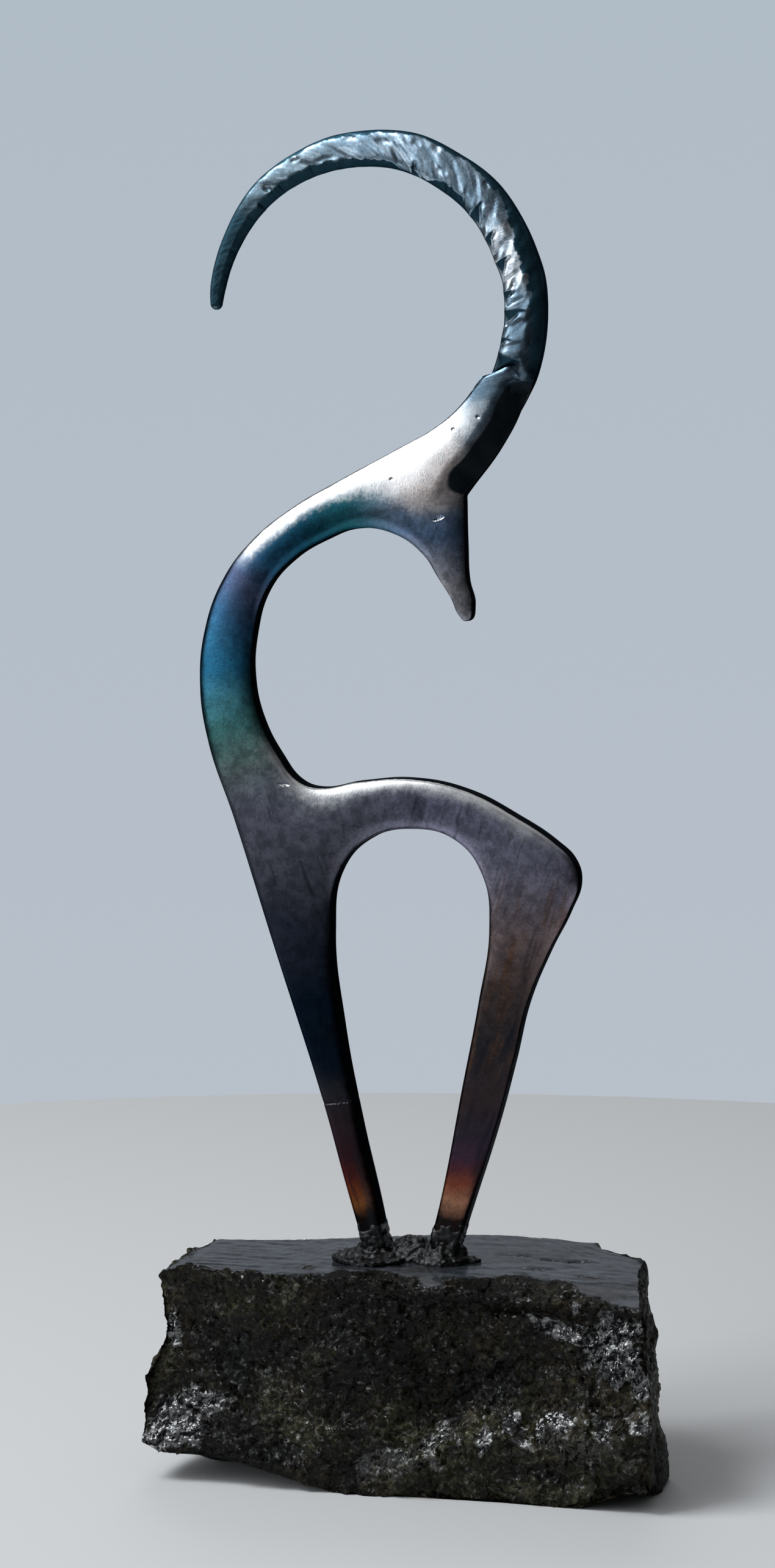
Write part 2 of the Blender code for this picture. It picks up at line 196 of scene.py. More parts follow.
# Oval scoops in the faces: degrees, radius, length along the arc, width and depth in millimetres.
HORN_SCOOPS = [
    (6.6, 30.9, 2.1, 1.1, 0.3), (33.5, 35.1, 1.6, 1.1, 0.3), (44.6, 35.0, 2.0, 1.2, 0.35),
    (61.0, 31.6, 2.6, 1.2, 0.3), (66.8, 35.4, 2.6, 1.1, 0.4), (74.0, 35.0, 2.4, 1.2, 0.35),
    (86.0, 34.4, 3.4, 1.3, 0.35), (98.0, 35.6, 3.6, 1.0, 0.3), (109.0, 32.6, 5.0, 1.6, 0.25),
    (119.0, 35.4, 3.0, 0.9, 0.3), (133.5, 34.2, 1.6, 2.2, 0.35),
]
SCOOP_LEAN = 0.4
HORN_DENT_SIZE = 2.4 * MM
HORN_DENT_DEPTH = 0.16 * MM
HORN_GRAIN_DEPTH = 0.06 * MM
RIPPLE_DEPTH = 0.07 * MM
SHARP_ANGLE = math.radians(50)


def smooth_step(value, low, high):
    """0 below low, 1 above high and smooth in between, for one value or an array."""
    share = np.clip((value - low) / (high - low), 0.0, 1.0)
    return share * share * (3 - 2 * share)


def noise_at(x, y, z):
    """Smooth noise at each of these places."""
    x, y, z = np.broadcast_arrays(x, y, z)
    places = zip(x.ravel().tolist(), y.ravel().tolist(), z.ravel().tolist())
    return np.array([noise.noise(place) for place in places]).reshape(x.shape)


def new_object(name, data):
    obj = bpy.data.objects.new(name, data)
    bpy.context.scene.collection.objects.link(obj)
    return obj


def object_of(edit, name):
    """A new object with the mesh that has been edited."""
    mesh = bpy.data.meshes.new(name)
    edit.to_mesh(mesh)
    edit.free()
    return new_object(name, mesh)


def solid_of(name, vertices, faces):
    """A closed mesh with its faces turned outwards."""
    mesh = bpy.data.meshes.new(name)
    mesh.from_pydata([tuple(map(float, vertex)) for vertex in vertices], [], faces)
    mesh.validate()
    edit = bmesh.new()
    edit.from_mesh(mesh)
    bmesh.ops.recalc_face_normals(edit, faces=edit.faces)
    edit.to_mesh(mesh)
    edit.free()
    return new_object(name, mesh)


def band(lower, upper):
    """The faces between two closed rows of points."""
    return list(zip(lower, lower[1:] + lower[:1], upper[1:] + upper[:1], upper))


def applied(obj, kind, **settings):
    """Gives the object the mesh that a modifier makes of it."""
    modifier = obj.modifiers.new("applied", kind)
    for name, value in settings.items():
        setattr(modifier, name, value)
    graph = bpy.context.evaluated_depsgraph_get()
    mesh = bpy.data.meshes.new_from_object(obj.evaluated_get(graph))
    obj.modifiers.remove(modifier)
    obj.data = mesh


def mark_places(mesh, name, values):
    """Stores a number for each point of the mesh, for its material."""
    mark = mesh.attributes.new(name, "FLOAT", "POINT")
    mark.data.foreach_set("value", values.astype(np.float32))


def outline_of(points):
    """The smooth closed line through these points, as evenly spaced points in metres (x, z)."""
    curve = bpy.data.curves.new("outline", "CURVE")
    curve.dimensions = "2D"
    curve.fill_mode = "NONE"
    curve.resolution_u = 24
    spline = curve.splines.new("BEZIER")
    spline.bezier_points.add(len(points) - 1)
    spline.use_cyclic_u = True
    for bezier_point, point in zip(spline.bezier_points, points):
        bezier_point.co = (point[0] * MM, point[1] * MM, 0)
        handle = "VECTOR" if len(point) == 3 else "AUTO"
        bezier_point.handle_left_type = handle
        bezier_point.handle_right_type = handle
    obj = new_object("outline", curve)
    bpy.context.view_layer.update()
    line = obj.evaluated_get(bpy.context.evaluated_depsgraph_get()).to_mesh()
    dense = np.array([(vertex.co.x, vertex.co.y) for vertex in line.vertices])
    bpy.data.objects.remove(obj, do_unlink=True)
    bpy.data.curves.remove(curve)
    closed = np.vstack([dense, dense[:1]])
    along = np.concatenate([[0], np.cumsum(np.linalg.norm(np.diff(closed, axis=0), axis=1))])
    count = int(along[-1] / OUTLINE_STEP)
    places = np.arange(count) * along[-1] / count
    return np.column_stack([np.interp(places, along, closed[:, axis]) for axis in (0, 1)])


def distance_to_outline(points, outline):
    """How far each point lies from the closed outline."""
    steps = np.roll(outline, -1, axis=0) - outline
    lengths = np.maximum((steps ** 2).sum(axis=1), 1e-18)
    found = np.empty(len(points))
    block = 1500
    for first in range(0, len(points), block):
        part = points[first:first + block, None, :] - outline[None]
        share = np.clip((part * steps[None]).sum(axis=2) / lengths, 0, 1)
        off = part - share[:, :, None] * steps[None]
        found[first:first + block] = np.sqrt((off ** 2).sum(axis=2).min(axis=1))
    return found


def is_inside(points, outline):
    after = np.roll(outline, -1, axis=0)
    inside = np.zeros(len(points), bool)
    for low, high in zip(outline, after):
        if low[1] == high[1]:
            continue
        crosses = (low[1] > points[:, 1]) != (high[1] > points[:, 1])
        place = low[0] + (points[:, 1] - low[1]) / (high[1] - low[1]) * (high[0] - low[0])
        inside ^= crosses & (points[:, 0] < place)
    return inside


class Film:
    """A film blown up over an outline: its height tells how far a place is from all edges together."""

    def __init__(self, outline):
        self.low = outline.min(axis=0) - 2 * FILM_STEP
        size = np.ceil((outline.max(axis=0) + 2 * FILM_STEP - self.low) / FILM_STEP).astype(int)
        grid = np.stack(np.meshgrid(*(np.arange(count) * FILM_STEP for count in size)), axis=2) + self.low
        inside = is_inside(grid.reshape(-1, 2), outline).reshape(grid.shape[:2])
        film = np.zeros(inside.shape)
        for _ in range(FILM_ROUNDS):
            around = film[:-2, 1:-1] + film[2:, 1:-1] + film[1:-1, :-2] + film[1:-1, 2:]
            film[1:-1, 1:-1] = np.where(inside[1:-1, 1:-1], (around + 2 * FILM_STEP ** 2) / 4, 0)
        self.film = film

    def at(self, points):
        """Height of the film, as the half width of a straight limb on whose middle it would be as high."""
        place = (points - self.low) / FILM_STEP
        place = np.clip(place, 0, np.array(self.film.shape)[::-1] - 1.001)
        column, row = place[:, 0].astype(int), place[:, 1].astype(int)
        right, up = place[:, 0] - column, place[:, 1] - row
        film = self.film
        lower = film[row, column] * (1 - right) + film[row, column + 1] * right
        upper = film[row + 1, column] * (1 - right) + film[row + 1, column + 1] * right
        return np.sqrt(np.maximum(lower * (1 - up) + upper * up, 0))


def roundness(x, z):
    """0 for a flat limb with small rounded corners, 1 for the fully rounded neck and head."""
    body = LEG_ROUNDNESS + (BODY_ROUNDNESS - LEG_ROUNDNESS) * smooth_step(z, 95, 125)
    neck = smooth_step(z + 0.25 * x, 140, 176) * smooth_step(z, 158, 176)
    return body + (NECK_ROUNDNESS - body) * neck


def mark_depth(points, mark):
    """Depth in metres of an oval mark with a flat bottom at each point."""
    x, z, length, width, depth, turn = mark
    turn = math.radians(turn)
    off_x, off_z = points[:, 0] / MM - x, points[:, 1] / MM - z
    along = (off_x * math.cos(turn) + off_z * math.sin(turn)) / (length / 2)
    across = (off_z * math.cos(turn) - off_x * math.sin(turn)) / (width / 2)
    return depth * MM * (1 - smooth_step(np.sqrt(along ** 2 + across ** 2), 0.45, 1.15))


def seam_depth(points):
    """Depth in metres of the weld seam, which wanders across the front leg."""
    x, z = points[:, 0] / MM, points[:, 1] / MM
    share = (x - SEAM_LEFT[0]) / (SEAM_RIGHT[0] - SEAM_LEFT[0])
    line = SEAM_LEFT[1] + share * (SEAM_RIGHT[1] - SEAM_LEFT[1])
    off = np.abs(z - line - noise_at(x * 1.3, 0, 5.0) * SEAM_WANDER)
    near = 1 - smooth_step(off, SEAM_WIDTH * 0.3, SEAM_WIDTH)
    return SEAM_DEPTH * MM * near * ((share > -0.1) & (share < 1.1))


def spot_grid(centre, half_length, half_width, step):
    """A fine patch of points for a small mark, in metres."""
    along = np.arange(-half_length, half_length, step)
    up = np.arange(-half_width, half_width, step)
    grid = np.stack(np.meshgrid(along, up), axis=2).reshape(-1, 2)
    return (grid + np.array(centre)) * MM


def fine_spots():
    """The patches of points for the eye, the pits and the seam."""
    middle = ((SEAM_LEFT[0] + SEAM_RIGHT[0]) / 2, (SEAM_LEFT[1] + SEAM_RIGHT[1]) / 2)
    spots = [spot_grid(EYE[:2], 1.9, 1.3, EYE_POINTS)]
    spots += [spot_grid(pit[:2], pit[2] * 0.9, pit[3] * 0.9 + 0.3, PIT_POINTS) for pit in PITS]
    return spots + [spot_grid(middle, (SEAM_RIGHT[0] - SEAM_LEFT[0]) / 2, 1.0, EYE_POINTS)]


def figure_points(outline):
    """Points that fill one face of the figure: rows that follow its edge, an even grid, and fine spots."""
    before, after = np.roll(outline, 1, axis=0), np.roll(outline, -1, axis=0)
    run = after - before
    run /= np.linalg.norm(run, axis=1)[:, None]
    turn = np.sum(outline[:, 0] * after[:, 1] - after[:, 0] * outline[:, 1])
    inward = np.column_stack([-run[:, 1], run[:, 0]]) * np.sign(turn)
    rows = []
    for index, inset in enumerate(EDGE_ROWS):
        every = 1 if index < 4 else 2
        row = (outline + inward * inset)[::every]
        rows.append(row[distance_to_outline(row, outline) > 0.9 * inset])
    low, high = outline.min(axis=0), outline.max(axis=0)
    across = np.arange(low[0], high[0], FACE_STEP)
    heights = np.arange(low[1], high[1], FACE_STEP * math.sqrt(3) / 2)
    grid = np.array([(x + (row % 2) * FACE_STEP / 2, z) for row, z in enumerate(heights) for x in across])
    grid = grid[distance_to_outline(grid, outline) > EDGE_ROWS[-1] + 0.35 * FACE_STEP]
    points = np.vstack(rows + [grid])
    for spot in fine_spots():
        lowest, highest = spot.min(axis=0), spot.max(axis=0)
        outside = ((points < lowest - 0.05 * MM) | (points > highest + 0.05 * MM)).any(axis=1)
        spot = spot[distance_to_outline(spot, outline) > 0.1 * MM]
        points = np.vstack([points[outside], spot])
    return points[is_inside(points, outline)]


def bevel_of(points):
    """1 at the neck's outer edge below the collar, 0 from the bevel's inner border on."""
    outer = np.array([point[:2] for point in [COLLAR[-1]] + BROW_AND_HEAD[:3]]) * MM
    x, z = points[:, 0] / MM, points[:, 1] / MM
    wander = noise_at(x * 0.22, z * 0.22, 2.0) * 0.9 * MM
    away = distance_to_outline(points, np.vstack([outer, outer[::-1]]))
    share = np.clip(1 - (away + wander) / BEVEL_WIDTH, 0, 1)
    return share * smooth_step(z, 213.5, 221) * (1 - smooth_step(z, 238.2, 240.2))


def half_thickness(points, relief_outline):
    """How far each face stands off the figure's middle plane."""
    edge = distance_to_outline(points, relief_outline)
    edge[~is_inside(points, relief_outline) & (edge < OUTLINE_STEP)] = 0
    corner = np.sqrt(np.maximum(1 - (1 - np.minimum(edge / FLAT_CORNER, 1)) ** 2, 0))
    x, z = points[:, 0] / MM, points[:, 1] / MM
    nape = smooth_step(x, -20, 0) * smooth_step(z, 208, 222)
    half_width = NECK_HALF_WIDTH + (NAPE_HALF_WIDTH - NECK_HALF_WIDTH) * nape
    swell = np.minimum(Film(relief_outline).at(points) / half_width, np.sqrt(EDGE_SWELL * edge) / half_width)
    # The swell levels off over the middle of a broad limb.
    swell = 1.25 * swell / (1 + swell ** 2.5) ** 0.4
    flat = FLAT_SIDE + FLAT_CORNER * corner + FLAT_SWELL * swell
    rounded = ROUND_SIDE + ROUND_SWELL * swell
    share = roundness(x, z)
    height = flat * (1 - share) + rounded * share
    upwards = (x - NAPE_LINE[0]) * NAPE_UPWARDS[0] + (z - NAPE_LINE[1]) * NAPE_UPWARDS[1]
    height -= NAPE_LEAN * nape * np.clip(upwards, -6, 9) * MM
    # The neck's outer side is bevelled from below the collar down to the brow.
    height -= BEVEL_DEPTH * bevel_of(points)
    # The collar's end has a small rounded edge.
    to_collar = distance_to_outline(points, np.array([point[:2] for point in COLLAR[:3]]) * MM)
    height -= COLLAR_ROUNDING * (1 - smooth_step(to_collar, 0, 0.6 * MM))
    to_end = np.hypot(x - COLLAR[2][0] - 0.6, z - COLLAR[2][1] + 0.6)
    height -= COLLAR_END_DROP * (1 - smooth_step(to_end, 0.8, 4.6))
    wave = noise_at(x * 0.07, z * 0.07, 1.0) * 0.09 + noise_at(x * 0.25, z * 0.25, 7.0) * 0.03
    return height + wave * MM * smooth_step(edge, 0.4 * MM, 2.5 * MM)


def filled(outline):
    """Places and triangles that fill the outline, and the numbers of the places along it."""
    count = len(outline)
    flat = [Vector(point) for point in np.vstack([outline, figure_points(outline)])]
    edges = [(index, (index + 1) % count) for index in range(count)]
    found = geometry.delaunay_2d_cdt(flat, edges, [], 0, 1e-7, True)
    places = np.array([tuple(point) for point in found[0]])
    triangles = np.array([tuple(face) for face in found[2]])
    first, second, third = (places[triangles[:, corner]] for corner in range(3))
    one, other = second - first, third - first
    area = one[:, 0] * other[:, 1] - one[:, 1] * other[:, 0]
    triangles = triangles[is_inside((first + second + third) / 3, outline) & (area > SLIVER)]
    rim = {origin: index for index, origins in enumerate(found[3]) for origin in origins}
    return places, triangles.tolist(), [rim[index] for index in range(count)]


def figure_plate():
    """Legs, body, neck and head as one closed mesh with its relief on both faces."""
    rest = BROW_AND_HEAD + THROAT_AND_BACK + LEG_ARCH
    places, triangles, rim = filled(outline_of(CHEST_AND_NECK + COLLAR + rest))
    height = half_thickness(places, outline_of(CHEST_AND_NECK + PAST_COLLAR + rest))
    marks = mark_depth(places, EYE) + seam_depth(places)
    pits = sum(mark_depth(places, pit) for pit in PITS)
    front = np.column_stack([places[:, 0], marks + pits - height, places[:, 1]])
    back = np.column_stack([places[:, 0], height - marks, places[:, 1]])
    offset, count = len(places), len(rim)
    vertices = [front, back]
    rows = [rim]
    for row in range(1, SIDE_ROWS):
        share = row / SIDE_ROWS
        vertices.append(front[rim] * (1 - share) + back[rim] * share)
        start = 2 * offset + (row - 1) * count
        rows.append(list(range(start, start + count)))
    rows.append([offset + index for index in rim])
    faces = []
    for a, b, c in triangles:
        faces += [(a, b, c), (offset + c, offset + b, offset + a)]
    for lower, upper in zip(rows, rows[1:]):
        faces += band(lower, upper)
    return solid_of("figure_plate", np.vstack(vertices), faces)


def along_horn(table, degrees, column=1):
    """A value of the table at these degrees of the arc, with its corners smoothed."""
    places, values = [row[0] for row in table], [row[column] for row in table]
    return sum(np.interp(degrees + off, places, values) for off in (-3, -1.5, 0, 1.5, 3)) / 5


def horn_cut(degrees, out, front, width, depth):
    """Depth of the chisel cuts in metres, and which places lie on a cut's dark facet, painted with scale and
    shade.

    Each cut is a groove that runs obliquely out from the inner corner, with a facet that climbs from it
    to a crest. Past the crest the face falls away slowly to the next groove.
    """
    across = (1 + out) * width / 2 / MM
    corner = np.maximum(across + (1 - np.abs(front)) * depth / 2 / MM - CUT_CORNER, 0)
    total = np.zeros_like(corner)
    facet = np.zeros_like(corner)
    for start, end, fall_end, reach, deep in HORN_CUTS:
        groove = start + (end - start) * np.clip(across / reach, 0, 1) * 0.92
        up = (degrees - groove) / np.maximum(end + 0.4 - groove, 0.4)
        wall = (groove - degrees) / CUT_WALL
        profile = np.where(up >= 0, 1 - np.clip(up, 0, 1), 1 - np.clip(wall, 0, 1))
        fade = np.clip(1 - corner / (reach * 1.1), 0, 1)
        past = (degrees - end - STRAND_LEAN * across * 0.4) / (fall_end - end)
        fall = np.clip(past / 0.8, 0, 1) * np.clip((1.0 - past) / 0.2, 0, 1)
        fall = CUT_FALL * fall * np.clip(1 - corner / CUT_FALL_REACH, 0, 1)
        total = np.maximum(np.maximum(total, deep * profile * fade), fall)
        facet = np.maximum(facet, smooth_step(up, -0.05, 0.1) * smooth_step(-up, -1.0, -0.8) * (fade > 0.08))
    share = smooth_step(np.abs(front), 0.12, 0.75)
    return total * MM * share, facet * share


def horn_valleys(degrees, out, front, width):
    """Depth in metres of the shallow valleys between the twisted strands of the faces."""
    across = (1 + out) * width / 2 / MM
    lines = [(end, reach) for _, end, _, reach, _ in HORN_CUTS]
    lines += [(start, LONE_REACH) for start in LONE_VALLEYS]
    total = np.zeros_like(across)
    for end, reach in lines:
        off = degrees - end - STRAND_LEAN * (across - reach)
        valley = np.where(off < 0, 1 + off / VALLEY_WALL, 1 - off / VALLEY_CLIMB)
        ends = smooth_step(across, reach * 0.7, reach * 1.3) * (1 - smooth_step(across, 6.0, 8.4))
        total = np.maximum(total, VALLEY_DEPTH * np.clip(valley, 0, 1) * ends)
    return total * MM * smooth_step(np.abs(front), 0.4, 0.9)


def horn_scoops(degrees, radius, front):
    """Depth in metres of the oval scoops."""
    total = np.zeros_like(radius)
    for where, scoop_radius, length, wide, deep in HORN_SCOOPS:
        along = np.radians(degrees - where) * scoop_radius / (length / 2)
        across = (radius / MM - scoop_radius) / (wide / 2)
        off = np.hypot(along - SCOOP_LEAN * across, across)
        total = np.maximum(total, deep * (1 - smooth_step(off, 0.3, 1.2)))
    return total * MM * smooth_step(np.abs(front), 0.4, 0.8)


def inner_slope(degrees, out, width):
    """How far each place lies inside the dark slope along the inner side, in millimetres; it is painted
    partly as shade.
    """
    ragged = noise_at(degrees * 0.3, 0.0, 8.0) + 0.4 * noise_at(degrees * 0.8, 0.0, 2.0)
    return along_horn(INNER_SLOPE, degrees) * (1 + 0.35 * ragged) - (1 + out) * width / 2 / MM


def outer_band(degrees, out, width):
    """How far each place lies inside the black band along the outer side, in millimetres; it is partly
    painted shade.
    """
    across = (1 - out) * width / 2 / MM
    ragged = noise_at(degrees * 0.22 + across * 0.5, across * 0.5, 6.0)
    ragged = ragged + 0.6 * noise_at(degrees * 0.7, across * 0.9, 1.0)
    wide = along_horn(OUTER_BAND, degrees)
    return wide + ragged * np.minimum(wide * 0.5, 1.3) - across


def horn_dents(arc, out, front, width, depth, degrees):
    """Scoops left by the hammer along the strands, and fine marks across the horn."""
    ripple = smooth_step(degrees, 12, 17) * (1 - smooth_step(degrees, 36, 46))
    x = (arc - out * width / 2 * 1.15) / HORN_DENT_SIZE
    y = out * width / 2 / HORN_DENT_SIZE
    z = front * depth / 2 / HORN_DENT_SIZE
    cells = zip(x.ravel().tolist(), (y * 0.6).ravel().tolist(), (z * 0.8).ravel().tolist())
    away = np.array([noise.voronoi(place)[0][0] for place in cells]).reshape(x.shape)
    scoops = 0.4 - np.minimum(away, 0.75) ** 2 * 1.4
    fine = noise_at(x * 3.0, y * 1.6, z * 3.0)
    lines = noise_at(x * 6.0, y * 0.8, z * 1.5)
    return HORN_DENT_DEPTH * scoops - HORN_GRAIN_DEPTH * fine - RIPPLE_DEPTH * lines * ripple


def horn_turns():
    """Angles round the horn's section, closer together at its two inner corners."""
    fine = np.linspace(0, 2 * math.pi, 2001)
    crowd = 1 + sum(1.6 * np.exp(-((fine - angle) / 0.4) ** 2) for angle in CROWDED_AT)
    along = np.concatenate([[0], np.cumsum((crowd[1:] + crowd[:-1]) / 2)])
    return np.interp(np.arange(HORN_SIDES) / HORN_SIDES * along[-1], along, fine)[None, :]


def beyond_line(x, z, start, end):
    """How far a place lies to the right of the line from one point to another."""
    run, rise = end[0] - start[0], end[1] - start[1]
    return ((x - start[0]) * rise - (z - start[1]) * run) / math.hypot(run, rise)


def behind_collar(x, z):
    """1 where the horn's root is inside the neck, 0 where it has come out of the collar (millimetres)."""
    left, _, right, outer = COLLAR
    below = beyond_line(x, z, left, right)
    within = beyond_line(x, z, right, outer)
    return smooth_step(below, 0.0, 0.9) * smooth_step(within, 0.3, 3.6)


def horn_sizes(angle):
    """Radius of the bar's middle, its width and depth, and its taper at these angles of the arc."""
    degrees = np.degrees(angle)
    inner, outer = along_horn(HORN_EDGES, degrees) * MM, along_horn(HORN_EDGES, degrees, 2) * MM
    share = np.maximum(0, (angle - HORN_TAPER_ANGLE) / (HORN_TIP_ANGLE - HORN_TAPER_ANGLE))
    taper = 1 - share ** HORN_TAPER_POWER
    depth = HORN_TIP_DEPTH + (HORN_DEPTH - HORN_TIP_DEPTH) * taper
    depth = depth - HORN_ROOT_WAIST * (1 - smooth_step(degrees, -28, -10))
    return (inner + outer) / 2, outer - inner, depth, taper


def face_slope(arc, degrees, out, front, width, taper):
    """How far the horn's faces slope off to both sides of their ridge, which wanders along the arc."""
    wander = noise_at(arc[:, :1] / (5.0 * MM), 0.0, 4.0)
    off = (out - along_horn(HORN_RIDGE, degrees) - 0.2 * wander) * width / 2
    outwards, inwards = along_horn(HORN_RIDGE, degrees, 2), along_horn(HORN_RIDGE, degrees, 3)
    slope = np.where(off > 0, outwards * off, -inwards * off)
    return slope * taper * smooth_step(np.abs(front), 0.3, 0.8)


def horn():
    """The horn as a finely lofted bar along its arc, with its cuts and hammer marks."""
    angle = np.linspace(HORN_ROOT_ANGLE, HORN_TIP_ANGLE, HORN_RINGS)[:, None]
    degrees = np.degrees(angle)
    turn = horn_turns()
    middle, width, depth, taper = horn_sizes(angle)
    to_tip = np.maximum(0, 1 - (HORN_TIP_ANGLE - angle) / HORN_TIP_ROUNDING)
    tip = np.sqrt(np.maximum(0, 1 - 0.85 * to_tip * to_tip))
    reach = np.abs(np.cos(turn)) ** HORN_SQUARENESS + np.abs(np.sin(turn)) ** HORN_SQUARENESS
    reach = reach ** (-1 / HORN_SQUARENESS)
    out = np.cos(turn) * reach + angle * 0
    front = np.sin(turn) * reach + angle * 0
    arc = (angle - HORN_ROOT_ANGLE) * middle + out * 0
    dent = horn_dents(arc, out, front, width, depth, degrees) * (0.3 + 0.7 * taper)
    # The silhouette keeps its line, and the worked faces are those to the front, back and inside.
    dent *= 0.25 + 0.75 * smooth_step(np.abs(front), 0.2, 0.8)
    worked = smooth_step(taper, 0.15, 0.6)
    cut = horn_cut(degrees, out, front, width, depth)[0] * worked
    valley = horn_valleys(degrees, out, front, width) * worked
    scoop = horn_scoops(degrees, middle + out * width / 2, front)
    chamfer = np.clip(inner_slope(degrees, out, width), 0, None) * MM * 0.95 * smooth_step(taper, -0.3, 0.5)
    slope = face_slope(arc, degrees, out, front, width, taper)
    sideways = 1 - (cut + 0.5 * dent) / (width / 2) * (out < 0) - 0.3 * dent / (width / 2) * (out > 0)
    radius = middle + out * width / 2 * tip * sideways
    x = HORN_CENTRE[0] + radius * np.cos(angle)
    z = HORN_CENTRE[1] + radius * np.sin(angle)
    sink = ROOT_SINK * behind_collar(x / MM, z / MM)
    forwards = 1 - (cut + dent + slope + sink + np.maximum(valley + scoop, 0) + chamfer) / (depth / 2)
    y = front * depth / 2 * tip * np.maximum(forwards, 0.25)
    rings = np.arange(HORN_RINGS * HORN_SIDES).reshape(HORN_RINGS, HORN_SIDES).tolist()
    faces = [face for lower, upper in zip(rings, rings[1:]) for face in band(lower, upper)]
    faces += [tuple(rings[0][::-1]), tuple(rings[-1])]
    return solid_of("horn_to_join", np.stack([x, y, z], axis=2).reshape(-1, 3), faces)


def mark_scale_and_shade(figure):
    """Stores where the neck's bevel and the horn's cuts, inner slope and outer band are black: partly scale,
    partly painted shade.
    """
    points = np.empty(len(figure.data.vertices) * 3)
    figure.data.vertices.foreach_get("co", points)
    points = points.reshape(-1, 3)
    flat = points[:, [0, 2]]
    bevel = smooth_step(bevel_of(flat), 0.0, 0.32)
    off = flat - np.array(HORN_CENTRE)
    angle = np.arctan2(off[:, 1], off[:, 0])
    angle[angle < -math.pi / 2] += 2 * math.pi
    angle = np.clip(angle, HORN_ROOT_ANGLE, HORN_TIP_ANGLE)
    degrees = np.degrees(angle)
    middle, width, depth, _ = horn_sizes(angle)
    out = np.clip((np.hypot(off[:, 0], off[:, 1]) - middle) / (width / 2), -1, 1)
    facet = horn_cut(degrees, out, np.clip(points[:, 1] / (depth / 2), -1, 1), width, depth)[1]
    inner = smooth_step(inner_slope(degrees, out, width), -0.08, 0.12)
    outer = smooth_step(outer_band(degrees, out, width), -0.3, 0.7)
    in_neck = behind_collar(flat[:, 0] / MM, flat[:, 1] / MM)
    above = smooth_step(flat[:, 1], 0.2375, 0.2415)
    facet = np.maximum(np.maximum(facet, inner) * (1 - in_neck), outer) * above
    mark_places(figure.data, "scale", np.maximum(bevel, facet))


def antelope():
    """The plate and the horn united into one skin."""
    figure = figure_plate()
    bar = horn()
    applied(figure, "BOOLEAN", operation="UNION", solver="EXACT", object=bar)
    bpy.data.objects.remove(bar, do_unlink=True)
    mark_scale_and_shade(figure)
    figure.name = "antelope"
    figure.data.shade_smooth()
    figure.data.set_sharp_from_angle(angle=SHARP_ANGLE)
    return figure


class Value:
    """A number, colour or place that a shader works out, for plain arithmetic."""

    def __init__(self, socket):
        self.socket = socket

    def __add__(self, other):
        return maths("ADD", self, other)

    def __sub__(self, other):
        return maths("SUBTRACT", self, other)

    def __mul__(self, other):
        return maths("MULTIPLY", self, other)

    def larger(self, other):
        return maths("MAXIMUM", self, other)

    def spread(self, low, high, to_low=0.0, to_high=1.0, kind="SMOOTHSTEP"):
        """Maps this from one range to another, held at both ends."""
        inputs = {0: self, 1: low, 2: high, 3: to_low, 4: to_high}
        return worked_out("MapRange", inputs, interpolation_type=kind)

    def even(self, low, high, to_low=0.0, to_high=1.0):
        return self.spread(low, high, to_low, to_high, "LINEAR")

    def noise(self, scale, detail, roughness, warp=0.0, output=0):
        """Fractal noise at this place."""
        inputs = {"Vector": self, "Scale": scale, "Detail": detail, "Roughness": roughness,
                  "Distortion": warp}
        return worked_out("TexNoise", inputs, output)

    def parts(self):
        """This place's x, y and z."""
        return [Value(socket) for socket in worked_out("SeparateXYZ", {0: self}).socket.node.outputs]


def set_inputs(node, inputs):
    """Sets a node's inputs to fixed values, or links them to Values."""
    for name, value in inputs.items():
        if isinstance(value, Value):
            node.id_data.links.new(value.socket, node.inputs[name])
        else:
            node.inputs[name].default_value = value


def source(tree, kind, output, **settings):
    """An output of a new shader node that needs no input."""
    node = tree.nodes.new("ShaderNode" + kind)
    for name, value in settings.items():
        setattr(node, name, value)
    return Value(node.outputs[output])


def worked_out(kind, inputs, output=0, **settings):
    """An output of a new shader node, at least one of whose inputs is a Value."""
    tree = next(value.socket.id_data for value in inputs.values() if isinstance(value, Value))
    value = source(tree, kind, output, **settings)
    set_inputs(value.socket.node, inputs)
    return value


def maths(operation, *values):
    return worked_out("Math", dict(enumerate(values)), operation=operation)


def vector_maths(operation, *values, output="Vector"):
    return worked_out("VectorMath", dict(enumerate(values)), output, operation=operation)


def mix(factor, first, second, blend="MIX"):
    first, second = (value if isinstance(value, Value) else (*value, 1.0) for value in (first, second))
    return worked_out("Mix", {0: factor, 6: first, 7: second}, 2, data_type="RGBA", blend_type=blend)


def ramp(factor, stops):
    """The colour at this factor, from stops: places from 0 to 1 with their colours."""
    value = worked_out("ValToRGB", {0: factor})
    elements = value.socket.node.color_ramp.elements
    while len(elements) < len(stops):
        elements.new(1.0)
    for element, (place, colour) in zip(elements, stops):
        element.position = place
        element.color = (*colour, 1.0)
    return value


def stretched(where, scale):
    """A place scaled by a different amount along each axis."""
    return worked_out("Mapping", {"Vector": where, "Scale": scale})


def combined(x, y, z):
    return worked_out("CombineXYZ", {0: x, 1: y, 2: z})


def new_material(name):
    material = bpy.data.materials.new(name)
    material.use_nodes = True
    return material, material.node_tree.nodes["Principled BSDF"]


def places_of(material):
    """Places on the object, in its own coordinates."""
    return source(material.node_tree, "TexCoord", "Object")


def attribute(where, name):
    """A number stored for each point of the mesh."""
    return source(where.socket.id_data, "Attribute", "Fac", attribute_name=name)


def normal_of(where):
    return source(where.socket.id_data, "NewGeometry", "Normal")


